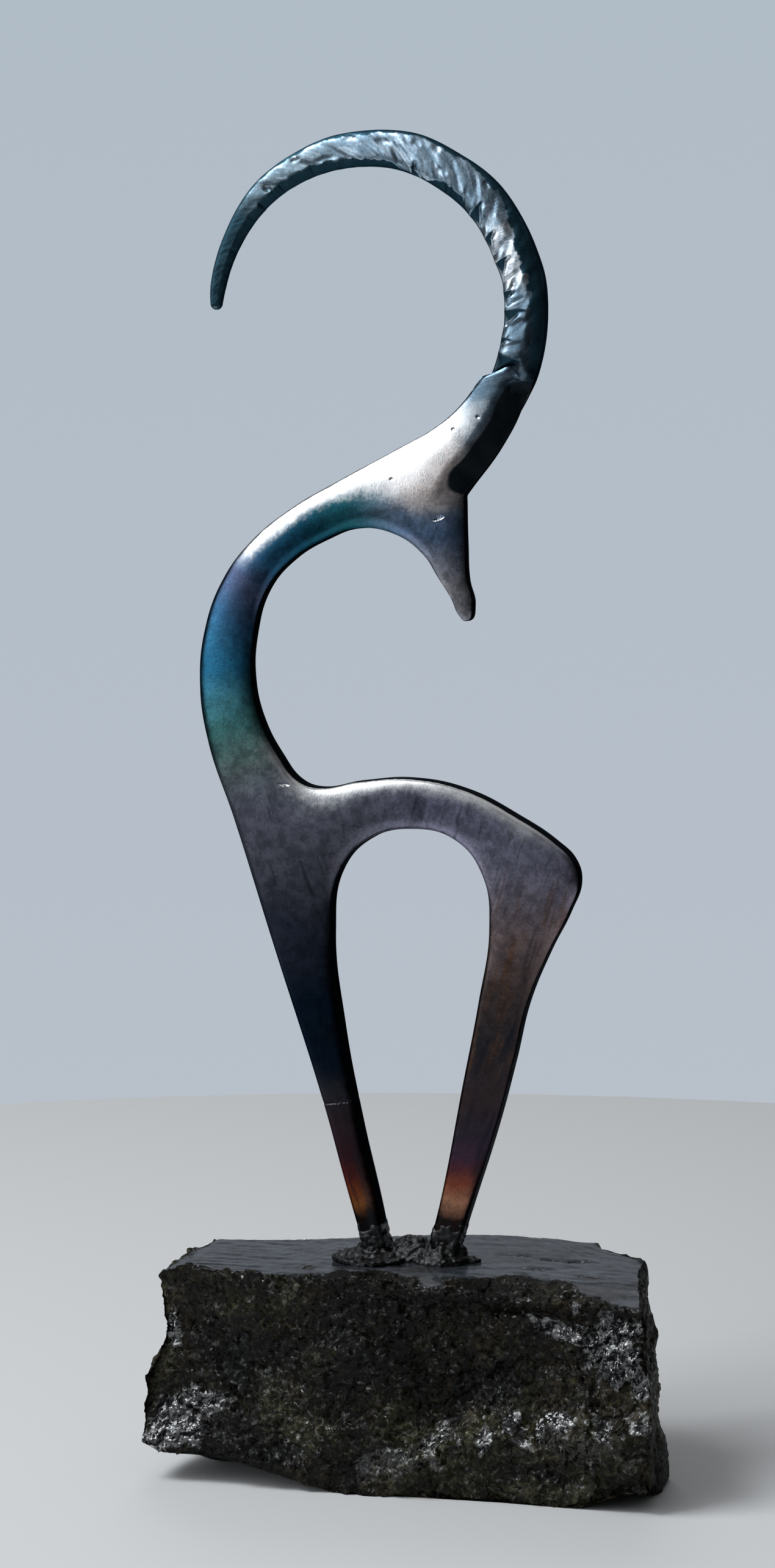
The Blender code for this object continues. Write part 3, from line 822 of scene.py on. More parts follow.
# Heat colours. Each list runs along the steel: a place from 0 to 1, then the colour of the oxide there.
NECK_HEAT = [
    (0.00, (0.16, 0.16, 0.20)),
    (0.08, (0.20, 0.22, 0.27)),
    (0.17, (0.21, 0.29, 0.27)),
    (0.26, (0.10, 0.30, 0.29)),
    (0.38, (0.030, 0.21, 0.37)),
    (0.49, (0.040, 0.13, 0.25)),
    (0.575, (0.085, 0.11, 0.20)),
    (0.63, (0.030, 0.12, 0.23)),
    (0.72, (0.014, 0.10, 0.17)),
    (0.84, (0.020, 0.14, 0.18)),
    (0.94, (0.10, 0.22, 0.30)),
    (1.00, (0.30, 0.36, 0.42)),
]
FRONT_LEG_HEAT = [
    (0.00, (0.002, 0.002, 0.002)),
    (0.08, (0.006, 0.003, 0.002)),
    (0.115, (0.200, 0.070, 0.018)),
    (0.15, (0.150, 0.032, 0.009)),
    (0.18, (0.075, 0.014, 0.011)),
    (0.22, (0.034, 0.012, 0.016)),
    (0.36, (0.026, 0.026, 0.031)),
    (0.42, (0.003, 0.008, 0.018)),
    (0.55, (0.003, 0.010, 0.022)),
    (0.72, (0.036, 0.042, 0.064)),
    (0.86, (0.14, 0.14, 0.18)),
    (1.00, (0.20, 0.21, 0.26)),
]
HIND_LEG_HEAT = [
    (0.00, (0.003, 0.003, 0.003)),
    (0.095, (0.016, 0.010, 0.008)),
    (0.13, (0.40, 0.19, 0.115)),
    (0.165, (0.24, 0.065, 0.035)),
    (0.20, (0.10, 0.030, 0.035)),
    (0.23, (0.06, 0.030, 0.055)),
    (0.27, (0.040, 0.030, 0.044)),
    (0.36, (0.052, 0.036, 0.038)),
    (0.48, (0.042, 0.038, 0.044)),
    (0.60, (0.10, 0.070, 0.064)),
    (0.70, (0.25, 0.185, 0.185)),
    (0.84, (0.30, 0.29, 0.38)),
    (1.00, (0.26, 0.26, 0.37)),
]
HEAD_HEAT = [
    (0.00, (0.26, 0.27, 0.31)),
    (0.25, (0.42, 0.40, 0.42)),
    (0.48, (0.36, 0.38, 0.46)),
    (0.66, (0.15, 0.24, 0.40)),
    (0.82, (0.22, 0.31, 0.45)),
    (1.00, (0.62, 0.60, 0.62)),
]
# Where the lists for the legs and the head start and end, in metres of height.
LEG_HEIGHTS = (0.049, 0.150)
HEAD_HEIGHTS = (0.188, 0.216)
# The neck's list runs round the middle of its bend (x, z), from the chest over the nape to the head.
BEND_CENTRE = (-0.008, 0.178)
BEND_ANGLES = (-1.25, 2.0)
# Heights over which the neck's and the horn's colours take over from those below.
NECK_STARTS = (0.146, 0.160)
HORN_STARTS = (0.225, 0.235)
# Near the feet the flame left the right side of each leg black: that side's x at the foot, how far it
# leans over for each unit of height, its border past that line and how black it is. Then the streaks:
# how far they lean, where they end, their colour, and how strong the copper ones are.
FRONT_LEG = (FRONT_LEG_HEAT, -0.0049, -0.25, (0.0, 0.0018), 0.85, -0.30, 0.46, (0.004, 0.006, 0.010), 0.0)
HIND_LEG = (HIND_LEG_HEAT, 0.0096, 0.28, (0.0008, 0.0032), 0.8, 0.31, 0.48, (0.012, 0.014, 0.024), 0.75)
COPPER = (0.17, 0.085, 0.048)
BARE_STEEL_AND_HIGHLIGHT = (0.72, 0.72, 0.72)
CLOUD_GREY = (0.68, 0.68, 0.70)
NAPE = (0.006, 0.0, 0.222)
NAPE_STEEL = (0.78, 0.68, 0.64)
HORN_WHITE_HIGHLIGHT = (0.86, 0.94, 1.00)
HORN_BRIGHT = (0.58, 0.72, 0.84)
HORN_STEEL = (0.26, 0.38, 0.48)
HORN_DULL = (0.10, 0.14, 0.15)
HORN_DARK = (0.045, 0.075, 0.105)
HORN_TIP = (0.022, 0.055, 0.075)
# The black of scale, also used as painted shade.
HORN_SCALE_AND_SHADE = (0.022, 0.056, 0.080)
SCALE_AND_SHADE_BLACK = (0.012, 0.016, 0.020)
EDGE_TINT = (0.25, 0.25, 0.27, 1.0)
# The horn's strands run along an arc of this radius, leaning over by this much for each step outwards.
STRAND_RADIUS = 0.033
STRAND_SLOPE = 1.15
STRAND_WIDTH = 0.55
# How much the noise is drawn out along the legs, and how far colours drift, in metres.
ALONG_LEG = 0.12
DRIFT = (0.010, 0.010, 0.010)
MIDDLE = (0.5, 0.5, 0.5)
# Faces turned this way get bare steel and a painted highlight.
POLISH_AND_HIGHLIGHT_FROM = (-0.15, 0.0, 0.99)


def leg_colour(where, x, z, leg):
    """Heat colours up a leg, black on its right side near the foot, with streaks along it."""
    heat, side, side_lean, border, black, lean, ends, streak_colour, copper = leg
    colour = ramp(z.even(*LEG_HEIGHTS), heat)
    off = x - ((z - LEG_HEIGHTS[0]) * side_lean + side)
    colour = mix(z.spread(0.080, 0.066) * off.spread(*border, 0.0, black), colour, SCALE_AND_SHADE_BLACK)
    plain_x, plain_y, plain_z = where.parts()
    streaks = combined(plain_x - plain_z * lean, plain_y, plain_z * ALONG_LEG).noise(480.0, 4.0, 0.6)
    if copper:
        bright = streaks.spread(0.50, 0.68, 0.0, copper) * z.spread(0.076, 0.098) * z.spread(0.142, 0.126)
        colour = mix(bright, colour, COPPER)
    return mix(streaks.spread(ends, 0.30, 0.0, 0.6), colour, streak_colour)


def horn_colour(where):
    """Colour of the horn's worked faces: bright where worn, with a painted highlight, in strands that lean
    over, dark to its ends.
    """
    x, y, z = where.parts()
    up = z - HORN_CENTRE[1]
    right = x - HORN_CENTRE[0]
    angle = maths("ARCTAN2", up, right)
    radius = maths("SQRT", up * up + right * right)
    strand = combined(angle * STRAND_RADIUS - radius * STRAND_SLOPE, radius * STRAND_WIDTH, y)
    # Worn steel with a painted highlight, on the inner part of the faces from about 5 to 35 degrees.
    worn_highlight = angle.spread(0.04, 0.14) * angle.spread(0.64, 0.46) * radius.spread(0.0350, 0.0334)
    patchy = where.noise(380.0, 4.0, 0.6).spread(0.34, 0.56, 0.25, 1.0)
    root = angle.spread(0.06, -0.08) * radius.spread(0.0294, 0.0320)
    below = angle.spread(-0.36, -0.44) * radius.spread(0.0480, 0.0420)
    colour = mix(strand.noise(420.0, 5.0, 0.7, 0.8).spread(0.42, 0.68), HORN_STEEL, HORN_BRIGHT)
    colour = mix(angle.spread(1.65, 2.0, 0.0, 0.55), colour, HORN_DULL)
    colour = mix(worn_highlight * patchy, colour, HORN_WHITE_HIGHLIGHT)
    colour = mix(root.larger(below) * 0.85, colour, HORN_DARK)
    return mix(angle.spread(2.2, 2.62), colour, HORN_TIP)


def round_bend(x, z):
    """Angle round the middle of the neck's bend."""
    return maths("ARCTAN2", z - BEND_CENTRE[1], maths("SUBTRACT", BEND_CENTRE[0], x))


def heat_colour(where, place):
    """The oxide's colours up both legs, round the neck and down the head, and the horn's steel."""
    x, _, z = place.parts()
    front, hind = (leg_colour(where, x, z, leg) for leg in (FRONT_LEG, HIND_LEG))
    colour = mix(x.spread(-0.012, 0.010), front, hind)
    neck = ramp(round_bend(x, z).even(*BEND_ANGLES), NECK_HEAT)
    colour = mix(z.spread(*NECK_STARTS), colour, neck)
    is_head = x.spread(-0.010, 0.004) * z.spread(0.222, 0.210) * z.spread(0.165, 0.180)
    colour = mix(is_head, colour, ramp(z.even(*HEAD_HEIGHTS), HEAD_HEAT))
    flat = vector_maths("MULTIPLY", place, (1.0, 0.0, 1.0))
    to_nape = vector_maths("DISTANCE", flat, NAPE, output="Value")
    colour = mix(to_nape.spread(0.006, 0.0125, 1.0, 0.0), colour, NAPE_STEEL)
    return mix(z.spread(*HORN_STARTS), colour, horn_colour(where))


def polish_and_highlight(x, z, normal, roughly):
    """Polished bare steel and painted highlight where faces turn up, towards the neck's and back's upper
    edges.
    """
    upward = vector_maths("DOT_PRODUCT", normal, POLISH_AND_HIGHLIGHT_FROM, output="Value")
    upward = upward + roughly.even(0.2, 0.8, -0.05, 0.05)
    within = round_bend(x, z).spread(0.62, 0.88).larger(z.spread(0.165, 0.158))
    return upward.spread(0.02, 0.17) * z.spread(0.134, 0.150) * z.spread(0.237, 0.225) * within


def steel_material():
    """Forged steel: heat colours along the limbs, brighter where worn, painted highlights, fine hammer and
    file marks.
    """
    material, shader = new_material("heat_coloured_steel")
    where = places_of(material)
    drift = vector_maths("SUBTRACT", where.noise(70.0, 5.0, 0.62, output="Color"), MIDDLE)
    place = vector_maths("ADD", where, vector_maths("MULTIPLY", drift, DRIFT))
    x, _, z = place.parts()
    # Soft clouds and fine grain lie over the oxide's colours.
    colour = heat_colour(where, place)
    colour = mix(where.noise(110.0, 5.0, 0.6).spread(0.25, 0.75, 0.0, 0.4), colour, CLOUD_GREY, "MULTIPLY")
    colour = mix(where.noise(1700.0, 3.0, 0.65).spread(0.3, 0.75, 0.0, 0.4), colour, SCALE_AND_SHADE_BLACK)

    normal = normal_of(where)
    to_right, to_back, _ = normal.parts()
    roughly = where.noise(800.0, 5.0, 0.7)
    # Bare steel and a painted highlight where the faces turn up, towards the neck's and back's upper edges.
    colour = mix(polish_and_highlight(x, z, normal, roughly), colour, BARE_STEEL_AND_HIGHLIGHT)
    # Painted shade: the lower neck is darker where it turns to its outer edge.
    outwards = to_right.spread(-0.12, -0.42, 0.0, 0.6) * x.spread(-0.024, -0.032) * z.spread(0.206, 0.198)
    colour = mix(outwards, colour, SCALE_AND_SHADE_BLACK)
    # The sides and the cuts were never polished: they keep their black scale, up to a ragged border, and the
    # cuts carry painted shade too.
    ragged = maths("ABSOLUTE", to_back) + roughly.even(0.2, 0.8, -0.12, 0.12)
    # The stored scale mark is partly painted shade, on the neck's bevel and the horn's cuts, inner slope and
    # outer band.
    scale = ragged.spread(0.52, 0.28).larger(attribute(where, "scale").spread(0.2, 0.7))
    colour = mix(scale, colour, mix(z.spread(0.236, 0.244), SCALE_AND_SHADE_BLACK, HORN_SCALE_AND_SHADE))

    rough = where.noise(420.0, 6.0, 0.6).spread(0.3, 0.7, 0.2, 0.34) + scale * 0.2
    scratches = stretched(where, (1.0, 1.0, 0.12)).noise(4200.0, 2.0, 0.6)
    height = scratches * 0.35 + where.noise(2600.0, 4.0, 0.65)
    set_inputs(shader, {
        "Base Color": colour,
        "Metallic": 1.0,
        "Specular Tint": EDGE_TINT,
        "Roughness": rough + z.spread(0.240, 0.250, 0.0, 0.08),
        "Normal": worked_out("Bump", {"Height": height, "Strength": 0.12, "Distance": 0.0002}),
    })
    return material


# The stone's sizes, in millimetres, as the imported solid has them.
STONE_HEIGHT = 47.5
STONE_LEFT = -50.5
STONE_RIGHT = 57.5
STONE_FRONT = -22.0
STONE_BACK = 28.0
# Cells of its skin along x, y and z, and how much closer they lie at the front than at the back.
STONE_CELLS = (280, 46, 112)
STONE_CROWDING = 1.35
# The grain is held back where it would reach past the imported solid's box: where that starts, and the
# room left, for the left and right end and for the front and back.
HELD_ENDS = ((-52.3, 1.5), (58.4, 1.3))
HELD_FACES = ((-22.6, 1.85), (28.0, 1.2))

# The front border of the smooth part of the top, as x and y in millimetres.
SMOOTH_BORDER = [
    (-52.0, -17.0), (-39.0, -20.5), (-20.0, -20.5), (-9.0, -15.5), (1.0, -12.0), (9.0, -19.0),
    (18.0, -15.5), (28.0, -9.5), (38.0, -13.0), (47.0, -20.0), (56.0, -22.0),
]
# Marks on the smooth top, a small pebble and dark pits, in millimetres: x, y, half length, half depth
# and height.
TOP_MARKS = [
    (-17.6, -12.2, 1.0, 1.0, 1.2),
    (15.5, -14.5, 4.0, 1.3, -0.6),
    (-27.0, 14.5, 3.2, 0.9, -0.3),
    (30.0, -3.0, 5.0, 0.6, -0.25),
    (37.0, 6.0, 6.0, 0.7, -0.25),
    (24.0, 9.0, 4.0, 0.6, -0.2),
    (44.0, -8.0, 3.0, 0.8, -0.3),
]
# Parts of the front that look up to the left and catch the light: middle x and z, half length, half
# height, turn in degrees, how steeply they lean back and come forward to the right, and how glossy they are.
BRIGHT_PARTS = [
    (37.8, 38.4, 8.6, 2.0, -21.0, 0.75, 0.25, 1.0),
    (50.5, 35.5, 9.6, 6.8, -38.0, 0.70, 0.30, 1.0),
    (57.0, 28.0, 3.0, 3.4, 0.0, 0.60, 0.25, 1.0),
    (28.8, 18.4, 2.8, 2.4, 0.0, 0.60, 0.20, 0.8),
    (23.0, 14.2, 1.8, 3.0, 0.0, 0.55, 0.20, 0.7),
    (12.8, 11.0, 7.4, 6.0, -12.0, 0.36, 0.15, 0.5),
    (2.0, 7.0, 9.5, 4.0, 6.0, 0.34, 0.10, 0.35),
    (43.0, 13.0, 17.0, 5.0, 8.0, 0.40, 0.10, 0.30),
    (-46.0, 12.6, 9.5, 5.6, 24.0, 0.55, 0.25, 0.8),
    (-37.0, 17.5, 4.4, 2.6, 10.0, 0.50, 0.20, 0.7),
    (-46.6, 33.5, 2.4, 3.8, 0.0, 0.40, 0.20, 0.6),
]
# Within them the stone has broken off in steps this high.
STEP_HEIGHT = 3.4
# Hollows painted black as shade: middle x and z, half length and half height.
SHADED_HOLLOWS = [
    (23.0, 24.5, 11.0, 6.0),
    (16.0, 8.5, 4.5, 4.5),
    (-32.0, 27.0, 5.0, 9.0),
    (-22.0, 8.0, 9.0, 4.0),
    (34.0, 8.0, 10.0, 3.5),
]
# The skin's lumps, flat chips and grain: their sizes, and how far they stand out, in millimetres.
LUMPS = (14, 1.5)
SMALL_LUMPS = (5, 0.7)
CHIPS = (3.3, 0.55)
SMALL_CHIPS = (1.5, 0.5)
STONE_GRAIN = (0.9, 0.16)


def held_above(value, start, room):
    """The value, eased off past the start so that it never goes further than the room there."""
    beyond = np.maximum(0, value - start)
    return np.minimum(value, start) + room * (1 - np.exp(-beyond / room))


def stone_ends(across, up):
    waist = smooth_step(up, 0.36, 0.66) - smooth_step(up, 0.7, 0.95)
    left = STONE_LEFT + 1.9 * waist - 3.0 * (1 - smooth_step(up, 0.36, 0.66))
    left = left + 4.0 * smooth_step(across, -0.6, 1.0)
    right = STONE_RIGHT + 2.1 - 1.6 * up - 14.0 * smooth_step(across, 0.2, 1.0)
    right = right - (0.4 + 3.2 * up) * smooth_step(across, -1.0, 0.1)
    return left, right


def stone_faces(along, up):
    front = STONE_FRONT - 2.0 * smooth_step(along, 0.4, 1.0)
    front = front + 4.0 * smooth_step(-along, 0.6, 1.0) * up
    back = STONE_BACK - 18.0 * (1 - smooth_step(along, -0.95, 0.5)) - 3.0 * smooth_step(along, 0.6, 1.0)
    return front, back


def stone_underside(x, y):
    left_rise = 6.5 * smooth_step(-x, 4.0, 42.0) * smooth_step(-y, 2.0, 14.0)
    end_rise = 8.5 * smooth_step(-x, 40.0, 54.0)
    right_rise = 5.0 * smooth_step(x, 38.0, 60.0) * smooth_step(-y, 4.0, 16.0)
    return np.maximum(np.maximum(left_rise, end_rise), right_rise)


def stone_top(x, y):
    front_fall = 2.5 * smooth_step(-y, 12.0, 24.0) * smooth_step(x, -2.0, 8.0)
    corner_fall = 1.0 * smooth_step(-y, 8.0, 24.0) * smooth_step(x, 38.0, 56.0)
    end_fall = 2.0 * smooth_step(-x, 43.0, 53.0)
    return STONE_HEIGHT - front_fall - corner_fall - end_fall


def ledge_height(x):
    """Height of the ragged ledge that runs along the foot of the front."""
    return 16.5 + 0.19 * np.clip(x - 20, -30, 40) + 1.3 * np.sin(x * 0.33) + 0.8 * np.sin(x * 0.71 + 1)


def bump_at(x, z, middle_x, middle_z, wide, high):
    """A smooth round bump, 1 in its middle."""
    return np.exp(-(((x - middle_x) / wide) ** 2 + ((z - middle_z) / high) ** 2))


def front_hollows(x, z, to_ledge):
    """How far the front is set back above its ledge and on its left part."""
    right_part = smooth_step(x, -6, 16)
    back = right_part * (0.8 + 2.3 * smooth_step(to_ledge, -4.2, 1.2))
    back = back + 2.4 * bump_at(x, to_ledge, 22, 5, 19, 10) * smooth_step(to_ledge, -2.5, 1.0)
    back = back + 0.2 * np.maximum(0, ledge_height(x) - 8 - z) * right_part
    # The left part leans over a dark slope, under which the lower corner comes forward again.
    left_part = 1 - smooth_step(x, -36, -22)
    back = back + left_part * 2.6 * smooth_step(z, 8, 20) * (1 - 0.5 * smooth_step(z, 22, 40))
    return back + 0.8 + 1.1 * bump_at(x, z, -18, 20, 12, 9)


def stone_relief(x, z):
    """How far the front is set back, in millimetres, and how each place catches the light (-1 to 1), below 0
    where the hollows get painted shade.
    """
    broad = noise_at(x / 6.0, z / 6.0, 11.0)
    ragged = noise_at(x / 2.4, z / 2.4, 3.0)
    fine = noise_at(x / 1.1, z / 1.1, 8.0)
    to_ledge = z - ledge_height(x)
    back = front_hollows(x, z, to_ledge)
    on_ledge = smooth_step(to_ledge, -5.0, -3.4) * (1 - smooth_step(to_ledge, -0.6, 0.6))
    light = 0.85 * on_ledge * smooth_step(x, 26, 32) * smooth_step(broad + 0.8 * ragged, -0.55, 0.15)
    for middle_x, middle_z, half_length, half_height, turn, rise, lean, glossy in BRIGHT_PARTS:
        turn = math.radians(turn)
        off_x, off_z = x - middle_x, z - middle_z
        along = (off_x * math.cos(turn) + off_z * math.sin(turn)) / half_length
        up = (off_z * math.cos(turn) - off_x * math.sin(turn)) / half_height
        edge = np.sqrt(along ** 2 + up ** 2) + 0.55 * broad + 0.45 * ragged + 0.3 * fine
        share = 1 - smooth_step(edge, 0.6, 1.15)
        step = (off_z - 0.3 * off_x + 2.5 * ragged + STEP_HEIGHT / 2) % STEP_HEIGHT - STEP_HEIGHT / 2
        back = back + share * (rise * step - lean * np.clip(off_x, -4, 4))
        light = np.maximum(light, share * glossy)
    # Painted shade in the hollows, which are also set back a little.
    hollow_shade = np.zeros_like(x)
    for middle_x, middle_z, half_length, half_height in SHADED_HOLLOWS:
        off = np.hypot((x - middle_x) / half_length, (z - middle_z) / half_height)
        hollow_shade = np.maximum(hollow_shade, 1 - smooth_step(off + 0.5 * broad + 0.3 * ragged, 0.35, 1.1))
    return back + 0.6 * hollow_shade, light - hollow_shade * (1 - light)


def stone_cube():
    """A box of 2 x 2 x 2 whose six faces are grids fine enough for the block's grain."""
    edit = bmesh.new()
    turns = [
        (Matrix.Identity(4), 0, 1),
        (Matrix.Rotation(math.pi, 4, "X"), 0, 1),
        (Matrix.Rotation(math.pi / 2, 4, "X"), 0, 2),
        (Matrix.Rotation(-math.pi / 2, 4, "X"), 0, 2),
        (Matrix.Rotation(math.pi / 2, 4, "Y"), 2, 1),
        (Matrix.Rotation(-math.pi / 2, 4, "Y"), 2, 1),
    ]
    for turn, first, second in turns:
        place = turn @ Matrix.Translation((0, 0, 1))
        cells = STONE_CELLS[first], STONE_CELLS[second]
        bmesh.ops.create_grid(edit, x_segments=cells[0], y_segments=cells[1], size=1, matrix=place)
    bmesh.ops.remove_doubles(edit, verts=edit.verts, dist=1e-4)
    bmesh.ops.recalc_face_normals(edit, faces=edit.faces)
    return edit


def rounded(value, one, other):
    """Pulls a face of the box in a little towards the box's edges."""
    beyond = np.maximum(0, np.maximum(np.abs(one), np.abs(other)) - 0.93) / 0.07
    return value * (1 - 0.012 * beyond ** 2 * smooth_step(np.abs(value), 0.9, 1.0))


def stone_block(a, b, c):
    """The block in millimetres with its front worked out, how far each place is front, and its light."""
    along, across, up = rounded(a, b, c), rounded(b, a, c), (c + 1) / 2
    left, right = stone_ends(across, up)
    front, back = stone_faces(along, up)
    x = left + (right - left) * (along + 1) / 2
    y = front + (back - front) * (across + 1) / 2
    low = stone_underside(x, y)
    z = low + (stone_top(x, y) - low) * up
    is_front = 1 - smooth_step(b, -1.0, -0.86)
    set_back, light = stone_relief(x, z)
    y = y + set_back * is_front * (1 - 0.75 * smooth_step(z, 40, 46))
    return np.column_stack([x, y, z]), is_front, light


def smooth_part(a, c, x, y):
    """Which places belong to the smooth top, and the height of its marks and waves there."""
    border = np.interp(x, *zip(*SMOOTH_BORDER))
    wander = noise_at(x * 0.22, 4.0, 1.0) * 2.4 + noise_at(x * 0.9, y * 0.9, 6.0) * 1.3
    smooth = smooth_step(c, 0.965, 1.0) * smooth_step(y - border - wander, -0.6, 0.9)
    smooth = smooth * (1 - smooth_step(np.abs(a), 0.975, 0.998))
    height = np.zeros_like(x)
    for mark_x, mark_y, half_length, half_width, mark_height in TOP_MARKS:
        near = np.exp(-((x - mark_x) / half_length) ** 4 - ((y - mark_y) / half_width) ** 2)
        height = height + mark_height * near
        smooth = smooth * (1 - 0.9 * near)
    wave = noise_at(x * 0.12, y * 0.7, 3.0) * 0.14 + noise_at(x * 0.4, y * 1.6, 9.0) * 0.1
    return smooth, height * (c > 0.99) + wave * smooth * (smooth > 0.3)


def facet_of(place, size, slope):
    """Height at a place of a skin broken into flat chips of this size, each leaning its own way."""
    near = noise.voronoi(place / size)[1][0] * size
    lean = noise.cell_vector(near * 37.0) - Vector(MIDDLE)
    return (place - near).dot(lean) * slope


def weathered(spot, sparkle, level, side):
    """A place of the stone's skin, moved by its lumps, chips and grain."""
    place = Vector(spot)
    lump = noise.noise_vector(place / LUMPS[0]) * LUMPS[1]
    lump = lump + noise.noise_vector(place / SMALL_LUMPS[0]) * (SMALL_LUMPS[1] - 0.35 * sparkle)
    chips = facet_of(place, *CHIPS) + facet_of(place, SMALL_CHIPS[0], SMALL_CHIPS[1] + 0.45 * sparkle)
    grain = noise.noise(place / STONE_GRAIN[0]) * STONE_GRAIN[1]
    out = np.array((spot[0] * 0.25, spot[1] - 3.0, (spot[2] - 22) * 0.6)) / 26.0
    shift = np.array((lump.x, lump.y, lump.z * (1 - 0.95 * level)))
    return spot + shift * side + out * (chips + grain) * side


def stone():
    """The block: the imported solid's shape with its fractured faces, ledges, chips and grain."""
    edit = stone_cube()
    a, b, c = np.array([tuple(vert.co) for vert in edit.verts]).T
    b = 2 * ((np.clip(b, -1, 1) + 1) / 2) ** STONE_CROWDING - 1
    places, is_front, light = stone_block(a, b, c)
    smooth, height = smooth_part(a, c, places[:, 0], places[:, 1])
    level = np.maximum(smooth, smooth_step(c, 0.9, 1.0) * smooth_step(b, 0.0, 0.6))
    sparkle = np.maximum(light, 0.0) * is_front
    side = 1 - 0.95 * smooth
    under = (c < -0.999) & (np.maximum(np.abs(a), np.abs(b)) < 0.97)
    for index in np.flatnonzero(~under):
        places[index] = weathered(places[index], sparkle[index], level[index], side[index])
    places[:, 2] += height
    for axis, (low, high) in enumerate((HELD_ENDS, HELD_FACES)):
        places[:, axis] = held_above(-held_above(-places[:, axis], -low[0], low[1]), *high)
    places[:, 2] = np.maximum(places[:, 2], 0.0)
    for vert, place in zip(edit.verts, places):
        vert.co = Vector(place) * MM
    obj = object_of(edit, "stone")
    mark_places(obj.data, "smooth_top", smooth)
    # The varnish mark holds the facets' gloss, and below 0 the painted shade of the hollows.
    mark_places(obj.data, "varnish", light * is_front)
    obj.data.shade_smooth()
    return obj


CRUMBS = [
    (0.40, (0.0012, 0.0010, 0.0005)),
    (0.50, (0.0060, 0.0052, 0.0026)),
    (0.58, (0.0170, 0.0155, 0.0085)),
    (0.68, (0.0380, 0.0350, 0.0230)),
    (0.80, (0.0900, 0.0850, 0.0650)),
]
STONE_TINTS = [(0.38, (1.0, 0.86, 0.66)), (0.5, (1.0, 0.97, 0.86)), (0.62, (0.90, 1.0, 0.76))]
TOP_GREYS = [(0.38, (0.003, 0.003, 0.004)), (0.48, (0.016, 0.018, 0.022)), (0.66, (0.040, 0.046, 0.056))]
FACET_BLACK = (0.006, 0.0065, 0.008)
HOLLOW_SHADE = (0.0008, 0.0008, 0.0006)
GRIT = [
    (0.40, (0.0008, 0.0008, 0.0010)),
    (0.58, (0.0030, 0.0030, 0.0032)),
    (0.68, (0.0140, 0.0130, 0.0100)),
    (0.80, (0.0700, 0.0620, 0.0420)),
]


def chip_bump(where, scale, slope):
    """Height in metres of small flat chips, each leaning its own way, for a bump."""
    middle = worked_out("TexVoronoi", {"Vector": where, "Scale": scale}, "Position", feature="F1")
    lean = vector_maths("SUBTRACT", Value(middle.socket.node.outputs["Color"]), MIDDLE)
    off = vector_maths("SUBTRACT", where, middle)
    return vector_maths("DOT_PRODUCT", off, lean, output="Value") * slope


def stone_colour(where, on_top, facet_gloss_and_shade):
    """Black ground with olive and brown crumbs gathered in patches, painted shade in the hollows, and a
    blue-grey top with dark lines.
    """
    patches = where.noise(85.0, 3.0, 0.55).even(0.3, 0.7, -0.12, 0.11)
    areas = where.noise(32.0, 2.0, 0.5).even(0.35, 0.65, -0.09, 0.05)
    colour = ramp(where.noise(750.0, 5.0, 0.72, 0.6) + patches + areas, CRUMBS)
    colour = mix(1.0, colour, ramp(where.noise(60.0, 2.0, 0.5), STONE_TINTS), "MULTIPLY")
    colour = mix(facet_gloss_and_shade.spread(0.2, 0.8, 0.0, 0.75), colour, FACET_BLACK)
    # Painted shade in the hollows, where the varnish mark falls below 0.
    colour = mix(facet_gloss_and_shade.spread(-0.1, -0.8, 0.0, 0.85), colour, HOLLOW_SHADE)
    lines = stretched(where, (0.16, 1.0, 1.0)).noise(520.0, 5.0, 0.68)
    lines = lines + where.noise(130.0, 4.0, 0.6).even(0.3, 0.7, -0.10, 0.10)
    return mix(on_top, colour, ramp(lines, TOP_GREYS))


def stone_varnish(where, on_top, facet_gloss_and_shade):
    """How thick the varnish is: full on top and on the facets, in wet spots elsewhere."""
    # Where the smooth top bends down to the front it is duller.
    flat_top = on_top * normal_of(where).parts()[1].spread(-0.20, -0.06, 0.15, 1.0)
    spots = where.noise(900.0, 2.0, 0.5).spread(0.58, 0.70) * where.noise(75.0, 3.0, 0.6).spread(0.46, 0.64)
    spots = spots * on_top.spread(0.0, 0.3, 0.8, 0.0)
    return facet_gloss_and_shade.spread(0.1, 0.7).larger(flat_top).larger(spots + 0.06)


def stone_material():
    """Near-black olive stone under varnish that glints on the facets, smoother and blue-grey on top."""
    material, shader = new_material("varnished_stone")
    where = places_of(material)
    on_top, facet_gloss_and_shade = attribute(where, "smooth_top"), attribute(where, "varnish")
    chips = chip_bump(where, 1500.0, 0.8) + chip_bump(where, 620.0, 0.5)
    fine = where.noise(2600.0, 3.0, 0.7) * 0.00010
    height = chips * on_top.spread(0.0, 1.0, 1.0, 0.04) + fine * on_top.spread(0.0, 1.0, 1.0, 0.25)
    bump = worked_out("Bump", {"Height": height, "Strength": 1.0, "Distance": 1.0})
    set_inputs(shader, {
        "Base Color": stone_colour(where, on_top, facet_gloss_and_shade),
        "Roughness": where.noise(600.0, 4.0, 0.6).spread(0.3, 0.7, 0.45, 0.7),
        "Specular IOR Level": 0.08,
        "Coat Weight": stone_varnish(where, on_top, facet_gloss_and_shade),
        "Coat IOR": 2.1,
        "Coat Roughness": 0.09,
        "Normal": bump,
        "Coat Normal": bump,
    })
    return material


# The setting's lumps in millimetres: centre x, y, half length, half depth, height above the stone.
SETTING_LUMPS = [
    (-6.4, -1.6, 8.0, 7.0, 3.0),
    (2.4, 1.8, 6.0, 5.6, 5.4),
    (9.4, -0.4, 6.6, 6.4, 4.0),
    (14.6, 0.6, 3.4, 2.2, 1.3),
    (-5.6, 0.0, 5.0, 6.0, 5.2),
    (10.2, 0.0, 5.4, 6.0, 5.8),
]
# Their shares that are left after the grain is added: across, and up.
LUMP_SHARES = (0.94, 0.9)
